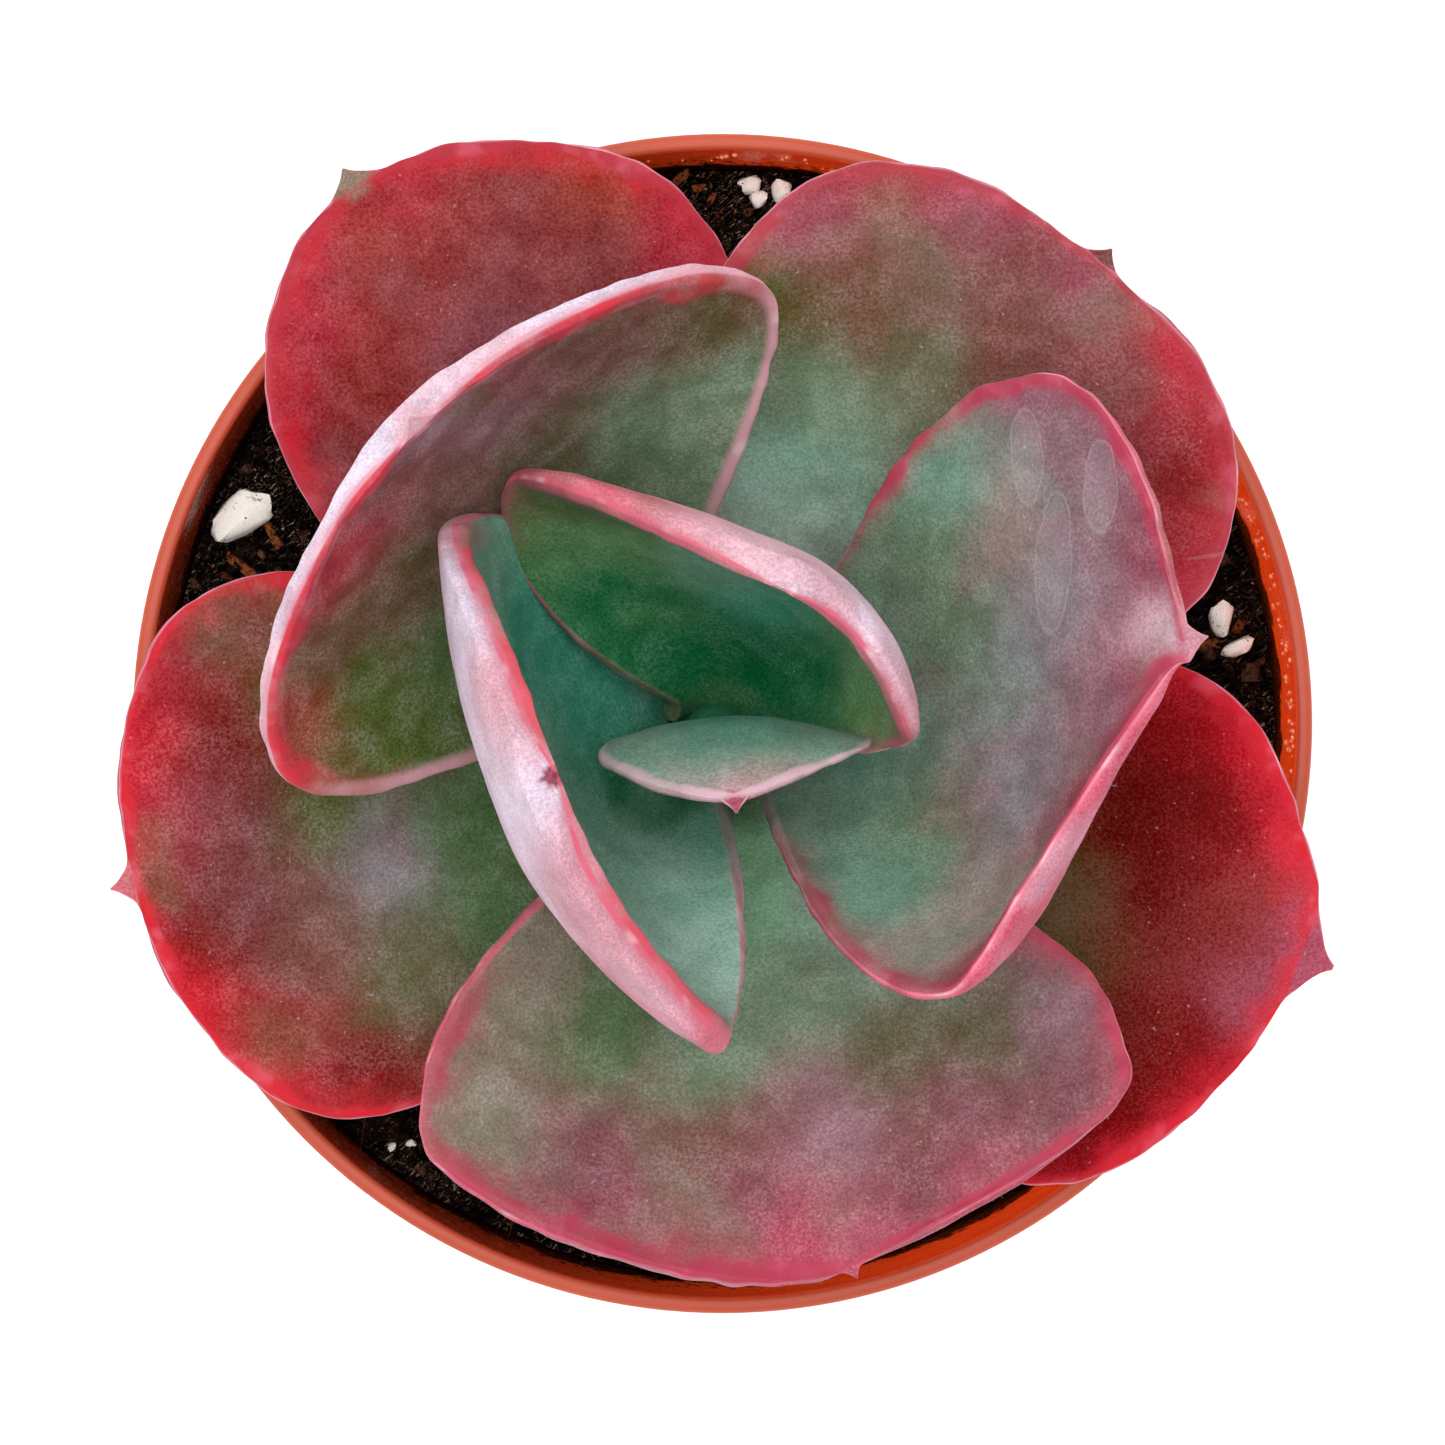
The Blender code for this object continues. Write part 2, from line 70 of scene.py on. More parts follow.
def drawn_up(name, rings, steps):
    """A closed round body, drawn up from a filled circle ring by ring. A ring is a height, a radius and,
    where it isn't on the pot's axis, the place of its centre.
    """
    clear_selection()
    rings = [(*ring, 0.0, 0.0)[:4] for ring in rings]
    height, radius, x, y = rings[0]
    bpy.ops.mesh.primitive_circle_add(
        vertices=steps, radius=radius * MM, fill_type="NGON", location=(x * MM, y * MM, height * MM),
    )
    body = bpy.context.object
    body.name = name
    bpy.ops.object.transform_apply(location=True, rotation=True, scale=True)
    bpy.ops.object.mode_set(mode="EDIT")
    for next_height, next_radius, next_x, next_y in rings[1:]:
        step = ((next_x - x) * MM, (next_y - y) * MM, (next_height - height) * MM)
        bpy.ops.mesh.extrude_region_move(TRANSFORM_OT_translate={"value": step})
        growth = next_radius / radius
        centre = (next_x * MM, next_y * MM, next_height * MM)
        bpy.ops.transform.resize(value=(growth, growth, 1.0), center_override=centre)
        height, radius, x, y = next_height, next_radius, next_x, next_y
    bpy.ops.mesh.select_all(action="SELECT")
    bpy.ops.mesh.normals_make_consistent(inside=False)
    bpy.ops.object.mode_set(mode="OBJECT")
    return body


def apply_modifier(piece, kind, **settings):
    """Adds a modifier of that kind with those settings, and applies it."""
    modifier = piece.modifiers.new(kind.lower(), kind)
    for setting, value in settings.items():
        setattr(modifier, setting, value)
    bpy.context.view_layer.objects.active = piece
    bpy.ops.object.modifier_apply(modifier=modifier.name)


def coordinates(piece):
    """The piece's vertices as an array in metres."""
    places = np.empty(len(piece.data.vertices) * 3)
    piece.data.vertices.foreach_get("co", places)
    return places.reshape(-1, 3)


def put_coordinates(piece, places):
    piece.data.vertices.foreach_set("co", np.ascontiguousarray(places, dtype=np.float32).ravel())
    piece.data.update()


def paint(piece, name, values, kind="FLOAT"):
    """Keeps one value per vertex on the mesh, for the finish to read."""
    attribute = piece.data.attributes.new(name, kind, "POINT")
    field = {"FLOAT": "value", "FLOAT_VECTOR": "vector", "FLOAT_COLOR": "color"}[kind]
    attribute.data.foreach_set(field, np.ascontiguousarray(values, dtype=np.float32).ravel())


def shade(piece, angle=35.0):
    clear_selection()
    piece.select_set(True)
    bpy.context.view_layer.objects.active = piece
    bpy.ops.object.shade_smooth_by_angle(angle=math.radians(angle))


def finish(name, **sockets):
    """A Principled finish. Socket names are written with underscores."""
    material = bpy.data.materials.new(name)
    material.use_nodes = True
    shader = material.node_tree.nodes["Principled BSDF"]
    for socket in shader.inputs:
        value = sockets.get(socket.name.replace(" ", "_"))
        if value is not None:
            socket.default_value = value
    return material


def put(tree, kind, inputs=None, **settings):
    """A shader node. Each input is a number, a colour, or the output of another node."""
    made = tree.nodes.new("ShaderNode" + kind)
    for setting, value in settings.items():
        setattr(made, setting, value)
    for socket, value in (inputs or {}).items():
        if isinstance(value, bpy.types.NodeSocket):
            tree.links.new(value, made.inputs[socket])
        else:
            made.inputs[socket].default_value = value
    return made


def grain(tree, place, size, detail=4.0, roughness=0.55, distortion=0.0):
    """Soft noise from 0 to 1, with spots of about that size in millimetres."""
    values = {"Scale": 1 / (size * MM), "Detail": detail, "Roughness": roughness, "Distortion": distortion}
    return put(tree, "TexNoise", {"Vector": place, **values}).outputs["Fac"]


def ramp(tree, value, low, high, start=0.0, end=1.0):
    """Goes smoothly from start to end as the value goes from low to high."""
    inputs = {"Value": value, "From Min": low, "From Max": high, "To Min": start, "To Max": end}
    return put(tree, "MapRange", inputs, interpolation_type="SMOOTHSTEP").outputs["Result"]


def mix(tree, share, one, other):
    """One colour, turning to the other as the share goes from 0 to 1."""
    return put(tree, "Mix", {0: share, 6: one, 7: other}, data_type="RGBA").outputs[2]


def times(tree, *values):
    """The product of numbers and outputs."""
    product = values[0]
    for value in values[1:]:
        product = put(tree, "Math", {0: product, 1: value}, operation="MULTIPLY").outputs[0]
    return product


def plus(tree, one, other):
    return put(tree, "Math", {0: one, 1: other}, operation="ADD").outputs[0]


def larger(tree, one, other):
    return put(tree, "Math", {0: one, 1: other}, operation="MAXIMUM").outputs[0]


def own_place(tree):
    return put(tree, "TexCoord").outputs["Object"]


def painted(tree, name, output="Fac"):
    """What was painted on the mesh under that name."""
    return put(tree, "Attribute", attribute_name=name).outputs[output]


def colour(code):
    """A colour written as six hexadecimal digits, as the shader takes it."""
    parts = [int(code[i : i + 2], 16) / 255 for i in (0, 2, 4)]
    linear = [c / 12.92 if c <= 0.04045 else ((c + 0.055) / 1.055) ** 2.4 for c in parts]
    return (*linear, 1.0)


def relief(tree, height, depth, strength=1.0, under=None):
    """A bump of that depth in millimetres, laid over another one if given."""
    inputs = {"Height": height, "Distance": depth * MM, "Strength": strength}
    if under is not None:
        inputs["Normal"] = under
    return put(tree, "Bump", inputs).outputs["Normal"]


def connect(material, **sockets):
    """Links outputs to the Principled shader's sockets, written with underscores."""
    tree = material.node_tree
    shader = tree.nodes["Principled BSDF"]
    for name, output in sockets.items():
        tree.links.new(output, shader.inputs[name.replace("_", " ")])


def pot_finish():
    """Satin plastic outside, with a faint painted glow. The inner wall is painted lighter on the right,
    with a painted glow there, darker under the lip, and dirty and painted darker near the mix.
    """
    material = finish("pot_plastic", Specular_IOR_Level=0.35, IOR=1.49, Emission_Strength=0.4)
    tree = material.node_tree
    place = own_place(tree)
    inside = painted(tree, "inside")
    to_right, _, height = put(tree, "SeparateXYZ", {0: place}).outputs
    cloud = grain(tree, place, 14.0, 3.0)
    speck = grain(tree, place, 0.35, 2.0)
    plastic = mix(tree, ramp(tree, cloud, 0.3, 0.7), colour("b0452c"), colour("b84d33"))
    plastic = mix(tree, ramp(tree, speck, 0.66, 0.74, 0.0, 0.35), plastic, colour("ad452d"))
    # Painted light and shade: the inner wall is painted lighter on the right, where light falls, darker
    # under the lip on that side, and darkest low on the left. It also keeps less dirt on the right.
    lit_and_clean_side = ramp(tree, to_right, -0.030, 0.034)
    low_wall = mix(tree, lit_and_clean_side, colour("8a2c10"), colour("f5601e"))
    high_wall = mix(tree, lit_and_clean_side, colour("9c3218"), colour("cf461c"))
    wall = mix(tree, ramp(tree, height, 0.0845, 0.0868), low_wall, high_wall)
    wall = mix(tree, ramp(tree, height, 0.0873, 0.0879), wall, colour("b0452c"))
    # Painted highlights: pale orange glints just under the lip.
    glint_spots = ramp(tree, grain(tree, place, 0.6, 3.0, 0.6), 0.60, 0.68, 0.0, 0.7)
    wall = mix(tree, times(tree, glint_spots, ramp(tree, height, 0.0878, 0.0868)), wall, colour("f0743e"))
    level = plus(tree, height, times(tree, grain(tree, place, 3.0, 5.0, 0.65), 6.0 * MM))
    stains = ramp(tree, grain(tree, place, 0.8, 5.0, 0.7), 0.52, 0.60)
    stains = times(tree, stains, ramp(tree, level, 0.0885, 0.0850), ramp(tree, lit_and_clean_side, 0.3, 1.0, 1.0, 0.05))
    # Darker near the mix: partly stained by it, partly painted shade.
    mud_and_shade = times(tree, ramp(tree, level, 0.0849, 0.0836), ramp(tree, lit_and_clean_side, 0.6, 1.0, 0.9, 0.7))
    dirt_and_shade = larger(tree, stains, mud_and_shade)
    wall = mix(tree, dirt_and_shade, wall, colour("1c0804"))
    gloss = ramp(tree, cloud, 0.2, 0.8, 0.42, 0.52)
    wet = mix(tree, inside, gloss, ramp(tree, speck, 0.4, 0.6, 0.18, 0.3))
    bumps = relief(tree, grain(tree, place, 0.22, 3.0), 0.03, 0.5)
    bumps = relief(tree, grain(tree, place, 1.3, 4.0), 0.25, inside, bumps)
    # Painted glow: the inner wall glows on its clean right side, standing for light coming through it, and
    # the outside glows faintly to lift its shade.
    lit_through = times(tree, inside, lit_and_clean_side, ramp(tree, dirt_and_shade, 0.7, 0.0))
    soft = mix(tree, inside, colour("5c2518"), colour("000000"))
    glow = mix(tree, lit_through, soft, colour("ff4212"))
    skin = mix(tree, inside, plastic, wall)
    connect(material, Base_Color=skin, Roughness=wet, Normal=bumps, Emission_Color=glow)
    return material


pot = drawn_up("pot_shell", POT_RINGS, 192)
clear_selection()
bpy.ops.mesh.primitive_cylinder_add(vertices=32, radius=DRAIN_RADIUS * MM, depth=8 * MM)
drain = bpy.context.object
bpy.ops.object.mode_set(mode="EDIT")
bpy.ops.transform.translate(value=(DRAIN_CIRCLE * MM, 0, 0))
for _ in range(DRAINS - 1):
    bpy.ops.mesh.duplicate()
    bpy.ops.transform.rotate(value=math.tau / DRAINS, orient_axis="Z", center_override=(0, 0, 0))
bpy.ops.object.mode_set(mode="OBJECT")
apply_modifier(pot, "BOOLEAN", object=drain, operation="DIFFERENCE", solver="EXACT")
bpy.data.objects.remove(drain)
sharp = math.radians(32)
apply_modifier(pot, "BEVEL", width=0.16 * MM, segments=2, limit_method="ANGLE", angle_limit=sharp)
shade(pot, 38)
pot_places = coordinates(pot) / MM
pot_radii = np.hypot(pot_places[:, 0], pot_places[:, 1])
middle_of_wall = np.interp(pot_places[:, 2], (0, 1.2, 73, 74.5, 88), (33, 35.0, 47.5, 49.0, 50.0))
pot_inside = (pot_radii < middle_of_wall) & (pot_places[:, 2] > 1.5) & (pot_places[:, 2] < 87.85)
paint(pot, "inside", pot_inside.astype(float))
pot_plastic = pot_finish()
pot.data.materials.append(pot_plastic)
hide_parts("pot")
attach(pot, "root")


def merged(name, parts, tones=None):
    """One mesh of many parts, each its vertices and faces, with one tone each for the finish to read."""
    corners, faces, tone_list, count = [], [], [], 0
    for i, (places, sides) in enumerate(parts):
        corners.append(places)
        faces.extend([tuple(c + count for c in side) for side in sides])
        tone_list.append(np.full(len(places), 0.5 if tones is None else tones[i]))
        count += len(places)
    mesh = bpy.data.meshes.new(name)
    mesh.from_pydata(np.vstack(corners).tolist(), [], faces)
    piece = bpy.data.objects.new(name, mesh)
    bpy.context.scene.collection.objects.link(piece)
    paint(piece, "tone", np.concatenate(tone_list))
    return piece


def pattern(piece):
    """The piece's vertices and faces, to copy from. The piece itself goes."""
    shape = coordinates(piece), [tuple(side.vertices) for side in piece.data.polygons]
    bpy.data.objects.remove(piece)
    return shape


def copied(shape, place, turn=(0, 0, 0), size=(1, 1, 1)):
    """A copy of a pattern of size 1, stretched, turned and put at its place, all in millimetres."""
    corners, sides = shape
    matrix = np.array(Matrix.LocRotScale(Vector(place), Euler(turn), Vector(size)))
    return (corners @ matrix[:3, :3].T + matrix[:3, 3]) * MM, sides


def around(turn, radius):
    """The point that lies that far from the pot's axis, at a turn in radians from +X towards +Y."""
    return radius * math.cos(turn), radius * math.sin(turn)


clear_selection()
bpy.ops.mesh.primitive_ico_sphere_add(subdivisions=2, radius=1.0)
bpy.ops.object.mode_set(mode="EDIT")
bpy.ops.transform.resize(value=(1.0, 0.8, 1.0))
bpy.ops.object.mode_set(mode="OBJECT")
bead = pattern(bpy.context.object)
chance = random.Random(5)
beads = []
for i in range(BEADS):
    turn = math.radians(chance.uniform(-14, 31) if i < BEADS_RIGHT else chance.uniform(60, 110))
    height = chance.uniform(83.0, 86.8)
    radius = float(np.interp(height, (82.0, 87.7), (49.0, 49.55)))
    size = chance.uniform(0.14, 0.42)
    place = (*around(turn, radius), height)
    beads.append(copied(bead, place, (0, 0, turn), (size * 0.7, size, size)))
# Painted glint: a pale cap on each bead's upper left, kept in its tone.
bead_glint = np.clip((bead[0] @ np.array((-0.55, 0.15, 0.82)) - 0.86) * 8, 0, 1)
drops = merged("pot_beads", beads, [bead_glint] * len(beads))
shade(drops, 180)
# The beads also glow faintly orange, a painted glow.
wet_plastic = finish("pot_wet", Roughness=0.08, Emission_Color=colour("ff5a18"), Emission_Strength=0.18)
wet_tree = wet_plastic.node_tree
wet_spots = ramp(wet_tree, grain(wet_tree, own_place(wet_tree), 0.5), 0.4, 0.6)
wet_orange = mix(wet_tree, wet_spots, colour("dc4a1a"), colour("ff8a4c"))
wet_glint = mix(wet_tree, painted(wet_tree, "tone"), wet_orange, colour("ffe6d2"))
connect(wet_plastic, Base_Color=wet_glint)
drops.data.materials.append(wet_plastic)
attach(drops, "root")

# Potting mix. Peat and composted bark with perlite, nearly black because it is damp, filled to a little
# under the rim and settled by watering. The ground is one body, and its crumbs, chips, fibres and white
# perlite grains lie loose on it, half sunk.

SOIL_TOP = 80.0
SOIL_RELIEF = 0.7
SOIL_WAVES = (  # per millimetre along X and Y, start, share of the relief
    (0.21, 0.13, 0.4, 1.0),
    (-0.17, 0.29, 1.9, 0.8),
    (0.47, -0.38, 3.1, 0.45),
    (0.33, 0.62, 5.0, 0.4),
)
SOIL_WALL = 48.5
SOIL_EDGE = 46.0  # from here to the wall the mix is smoother, and a little lower
STEM_X, STEM_Y = -0.4, -1.0
STEM_HOLE = 5.6
CRUMBS = 3600
CRUMBS_OUTSIDE = 3400  # of those, how many lie where the leaves don't hide them


def soil_height(x, y):
    """Gentle waves and small lumps."""
    waves = sum(share * math.sin(a * x + b * y + start) for a, b, start, share in SOIL_WAVES)
    lumps = noise.fractal(Vector((x, y, 3.0)) / 2.2, 0.7, 2.2, 5) * 0.7
    at_wall = max(0.0, (math.hypot(x, y) - SOIL_EDGE) / (SOIL_WALL - SOIL_EDGE))
    return SOIL_TOP + SOIL_RELIEF * waves + lumps * (1 - 0.5 * at_wall) - 0.5 * at_wall


soil_rings = [(47.7, 1.5), (49.7, 2.9), (66.0, 4.7), (77.0, 5.4)]
soil_rings = [(height, radius, STEM_X, STEM_Y) for height, radius in soil_rings]
for i in range(36):
    share = i / 35
    radius = STEM_HOLE + (SOIL_WALL - STEM_HOLE) * share
    soil_rings.append((SOIL_TOP, radius, STEM_X * (1 - share), STEM_Y * (1 - share)))
soil_rings += [(78.6, 48.45), (76.2, 48.25), (74.0, 46.7), (50.0, 42.6), (3.0, 34.3), (2.3, 32.6)]
soil = drawn_up("soil_ground", soil_rings, 160)
places = coordinates(soil)
for i, (x, y, z) in enumerate(places / MM):
    if z > SOIL_TOP - 0.1:
        places[i][2] = soil_height(x, y) * MM
put_coordinates(soil, places)
shade(soil, 60)


def soil_finish(name, dark, light, speckle, size, roughness):
    """Damp earth: two browns in crumbs of that size, and flecks of a third. Tone lifts some pieces, and
    painted shade darkens patches as in hollows.
    """
    material = finish(name, Specular_IOR_Level=0.03)
    tree = material.node_tree
    place = own_place(tree)
    tone = painted(tree, "tone")
    crumbs = grain(tree, place, size, 6.0, 0.75)
    earth = mix(tree, ramp(tree, crumbs, 0.48, 0.62), colour(dark), colour(light))
    patches = ramp(tree, grain(tree, place, 8.0, 2.0), 0.38, 0.58, 0.25, 1.0)
    for turn, tint in ((20, speckle), (75, "5e4a3c"), (140, "b09c8a")):
        turning = {0: place, 3: math.radians(turn)}
        laid = put(tree, "VectorRotate", turning, rotation_type="Z_AXIS").outputs[0]
        drawn = put(tree, "VectorMath", {0: laid, 1: (0.22, 1.0, 0.6)}, operation="MULTIPLY").outputs[0]
        strands = grain(tree, drawn, 0.2, 3.0, 0.6, 0.9)
        shown = times(tree, ramp(tree, strands, 0.61, 0.66, 0.0, 0.95), patches)
        earth = mix(tree, shown, earth, colour(tint))
    lifted = times(tree, ramp(tree, tone, 0.55, 1.0, 0.0, 0.9), ramp(tree, crumbs, 0.38, 0.58))
    earth = mix(tree, lifted, earth, colour(speckle))
    # Painted shade: random patches darkened to near black, as in hollows among the crumbs.
    hollow_shade = ramp(tree, grain(tree, place, 2.2, 3.0), 0.52, 0.40, 0.0, 0.85)
    earth = mix(tree, times(tree, hollow_shade, ramp(tree, tone, 0.8, 0.6)), earth, colour("020101"))
    bumps = relief(tree, crumbs, 0.5, 0.8)
    bumps = relief(tree, grain(tree, place, 0.25, 4.0), 0.12, 0.8, bumps)
    low, high = roughness
    dull = ramp(tree, crumbs, 0.35, 0.65, low, high)
    connect(material, Base_Color=earth, Roughness=dull, Normal=bumps)
    return material


soil_mix = soil_finish("soil_mix", "030101", "1c110c", "6a4632", 1.1, (0.4, 0.95))
soil.data.materials.append(soil_mix)
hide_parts("soil")
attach(soil, "root")


def rough_ball(subdivisions, rough, smooth, seed, flat=1.0):
    """A lump of radius 1, roughened by hand."""
    clear_selection()
    bpy.ops.mesh.primitive_ico_sphere_add(subdivisions=subdivisions, radius=1.0)
    bpy.ops.object.mode_set(mode="EDIT")
    bpy.ops.transform.vertex_random(offset=rough, seed=seed)
    if smooth:
        bpy.ops.mesh.vertices_smooth(factor=0.5, repeat=smooth)
    bpy.ops.transform.resize(value=(1.0, 1.0, flat))
    bpy.ops.object.mode_set(mode="OBJECT")
    return pattern(bpy.context.object)


def soil_spot(chance, near, far):
    """A place on the soil, with even chance over its area."""
    radius = math.sqrt(chance.uniform(near * near, far * far))
    x, y = around(chance.uniform(0, math.tau), radius)
    return x, y, soil_height(x, y)


crumb_kinds = [rough_ball(1, 0.5, 0, seed, 0.8) for seed in range(1, 6)]
chance = random.Random(21)
crumbs, crumb_tones = [], []
for i in range(CRUMBS):
    x, y, z = soil_spot(chance, 26 if i < CRUMBS_OUTSIDE else 7, 47.8)
    size = chance.uniform(0.25, 0.9) ** 1.8 * 1.1
    turn = [chance.uniform(0, 6.3) for _ in range(3)]
    stretch = [size * chance.uniform(0.7, 1.3) for _ in range(3)]
    crumbs.append(copied(chance.choice(crumb_kinds), (x, y, z + 0.35 * size), turn, stretch))
    crumb_tones.append(chance.random() ** 1.6)
soil_crumbs = merged("soil_crumbs", crumbs, crumb_tones)
shade(soil_crumbs, 50)
soil_crumbs.data.materials.append(soil_mix)
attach(soil_crumbs, "root")

# Bark chips and fibres. Composted pine bark breaks in flat splinters and sheds brown hairs, which catch
# the light among the black crumbs.


def bark_splinter(seed):
    clear_selection()
    bpy.ops.mesh.primitive_cube_add(size=2.0)
    bpy.ops.object.mode_set(mode="EDIT")
    bpy.ops.mesh.subdivide(number_cuts=3)
    bpy.ops.transform.vertex_random(offset=0.5, seed=seed)
    bpy.ops.mesh.vertices_smooth(factor=0.3, repeat=1)
    bpy.ops.object.mode_set(mode="OBJECT")
    return pattern(bpy.context.object)


def hair(seed):
    """A crooked fibre of length 2 along X and thickness 2 across."""
    clear_selection()
    chance = random.Random(seed)
    upright = (0, math.pi / 2, 0)
    bpy.ops.mesh.primitive_circle_add(vertices=4, radius=1.0, fill_type="NGON", rotation=upright)
    bpy.ops.object.transform_apply(location=True, rotation=True, scale=True)
    bpy.ops.object.mode_set(mode="EDIT")
    bend = chance.uniform(-0.5, 0.5)
    x = 0.0
    for i in range(9):
        bend += chance.uniform(-0.45, 0.45)
        step = (0.25, bend * 3.0, chance.uniform(-0.6, 0.6))
        bpy.ops.mesh.extrude_region_move(TRANSFORM_OT_translate={"value": step})
    bpy.ops.mesh.select_all(action="SELECT")
    bpy.ops.mesh.normals_make_consistent(inside=False)
    bpy.ops.object.mode_set(mode="OBJECT")
    places, sides = pattern(bpy.context.object)
    places[:, 0] -= places[:, 0].mean()
    return places, sides


chip_kinds = [bark_splinter(seed) for seed in range(1, 5)]
hair_kinds = [hair(seed) for seed in range(11, 16)]
CHIPS_SEEN = (  # degrees round the pot, distance from its axis, length, width, turn, tone
    (162.3, 43.6, 4.3, 0.75, -38, 1.0),
    (163.6, 45.0, 2.2, 0.6, -30, 0.7),
    (157.2, 42.6, 2.4, 0.7, -60, 0.95),
    (9.4, 42.6, 2.6, 0.9, 5, 0.85),
    (10.6, 46.0, 1.0, 0.7, 60, 0.8),
    (94.3, 48.0, 1.6, 0.7, 40, 1.0),
    (92.6, 47.0, 1.1, 0.6, 10, 1.0),
    (91.2, 46.0, 1.0, 0.5, 60, 0.95),
)
SPLINTERS = 160
HAIRS = 1100
chance = random.Random(34)
chips, chip_tones = [], []
for degrees, radius, length, width, turn, tone in CHIPS_SEEN:
    x, y = around(math.radians(degrees), radius)
    size = (length / 2, width / 2, 0.4)
    tilt = (0.1, 0.12, math.radians(turn))
    chips.append(copied(chance.choice(chip_kinds), (x, y, soil_height(x, y) + 0.5), tilt, size))
    chip_tones.append(tone)
for i in range(SPLINTERS):
    x, y, z = soil_spot(chance, 16, 47.0)
    tilt = (chance.uniform(-0.4, 0.4), chance.uniform(-0.4, 0.4), chance.uniform(0, 6.3))
    size = (chance.uniform(0.4, 1.5), chance.uniform(0.15, 0.4), chance.uniform(0.1, 0.3))
    chips.append(copied(chance.choice(chip_kinds), (x, y, z + 0.25), tilt, size))
    chip_tones.append(chance.random() ** 1.5)
for i in range(HAIRS):
    x, y, z = soil_spot(chance, 26, 47.6)
    thick = chance.uniform(0.03, 0.07)
    size = (chance.uniform(0.3, 1.0) ** 2 * 2.4, thick, thick)
    tilt = (chance.uniform(0, 6.3), chance.uniform(-0.25, 0.25), chance.uniform(0, 6.3))
    kind = chance.choice(hair_kinds)
    chips.append(copied(kind, (x, y, z + chance.uniform(0.1, 0.6)), tilt, size))
    chip_tones.append(chance.uniform(0.3, 1.0))
soil_bark = merged("soil_bark", chips, chip_tones)
shade(soil_bark, 40)
bark_brown = soil_finish("bark_brown", "120604", "3c1a0d", "a0572f", 0.45, (0.4, 0.8))
soil_bark.data.materials.append(bark_brown)
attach(soil_bark, "root")

# Perlite. Expanded volcanic glass, chalk white and pitted, in grains of two to six millimetres. The
# peat leaves dark specks in the pits.

GRAINS_SEEN = (  # degrees round the pot, distance from its axis, length, width, turn, rise
    (156.9, 46.0, 6.8, 3.8, 32, 1.7),
    (87.2, 47.2, 2.3, 1.9, 20, 1.0),
    (86.0, 46.0, 1.9, 1.8, 70, 1.0),
    (83.8, 46.9, 2.1, 1.9, 45, 1.1),
    (22.0, 47.4, 2.6, 1.5, 80, 1.0),
    (11.7, 44.6, 3.6, 2.2, 82, 1.4),
    (8.4, 45.6, 3.3, 1.5, 28, 1.1),
    (233.5, 45.8, 1.2, 0.9, 0, 0.6),
    (236.5, 44.2, 1.6, 1.0, 40, 0.7),
    (232.0, 47.0, 0.9, 0.7, 40, 0.5),
)
SMALL_GRAINS = 46


def perlite_kind(seed):
    clear_selection()
    bpy.ops.mesh.primitive_ico_sphere_add(subdivisions=1, radius=1.0)
    bpy.ops.object.mode_set(mode="EDIT")
    bpy.ops.transform.vertex_random(offset=0.45, seed=seed)
    bpy.ops.mesh.subdivide(number_cuts=3, smoothness=0.1)
    bpy.ops.transform.vertex_random(offset=0.085, seed=seed + 9)
    bpy.ops.mesh.vertices_smooth(factor=0.3, repeat=1)
    bpy.ops.object.mode_set(mode="OBJECT")
    places, sides = pattern(bpy.context.object)
    return places / np.abs(places).max(axis=0), sides


grain_kinds = [perlite_kind(seed) for seed in range(3, 8)]
chance = random.Random(55)
grains = []
for i, (degrees, radius, length, width, turn, rise) in enumerate(GRAINS_SEEN):
    x, y = around(math.radians(degrees), radius)
    place = (x, y, soil_height(x, y) + 0.45 * rise)
    turned = (0, 0, math.radians(turn))
    grains.append(copied(grain_kinds[i % len(grain_kinds)], place, turned, (length / 2, width / 2, rise)))
for i in range(SMALL_GRAINS):
    x, y, z = soil_spot(chance, 12, 38)
    size = chance.uniform(0.5, 1.5)
    stretch = (size, size * chance.uniform(0.6, 0.9), size * 0.6)
    kind = chance.choice(grain_kinds)
    grains.append(copied(kind, (x, y, z + 0.3 * size), (0, 0, chance.uniform(0, 6.3)), stretch))
perlite = merged("perlite", grains)
shade(perlite, 42)
chalk = finish("perlite_chalk", Roughness=0.85, Specular_IOR_Level=0.3, Subsurface_Weight=0.0)
chalk_tree = chalk.node_tree
chalk_place = own_place(chalk_tree)
chalk_pits = grain(chalk_tree, chalk_place, 0.42, 3.0, 0.6)
chalk_pores = grain(chalk_tree, chalk_place, 0.35, 5.0, 0.7)
chalk_stains = grain(chalk_tree, chalk_place, 1.6, 5.0, 0.7)
chalk_white = mix(chalk_tree, ramp(chalk_tree, chalk_pores, 0.35, 0.65), colour("f6f2e4"), colour("fffdf6"))
chalk_specks = ramp(chalk_tree, chalk_stains, 0.62, 0.68, 0.0, 0.75)
chalk_white = mix(chalk_tree, chalk_specks, chalk_white, colour("5a3020"))
chalk_white = mix(chalk_tree, ramp(chalk_tree, chalk_pits, 0.655, 0.70), chalk_white, colour("2a1810"))
connect(chalk, Base_Color=chalk_white, Normal=relief(chalk_tree, chalk_pores, 0.16, 0.8))
perlite.data.materials.append(chalk)
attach(perlite, "root")

# Stem. Short, woody and hidden under the rosette: greenish brown, ringed by the scars of leaves that
# have dropped, and rooted in the mix.

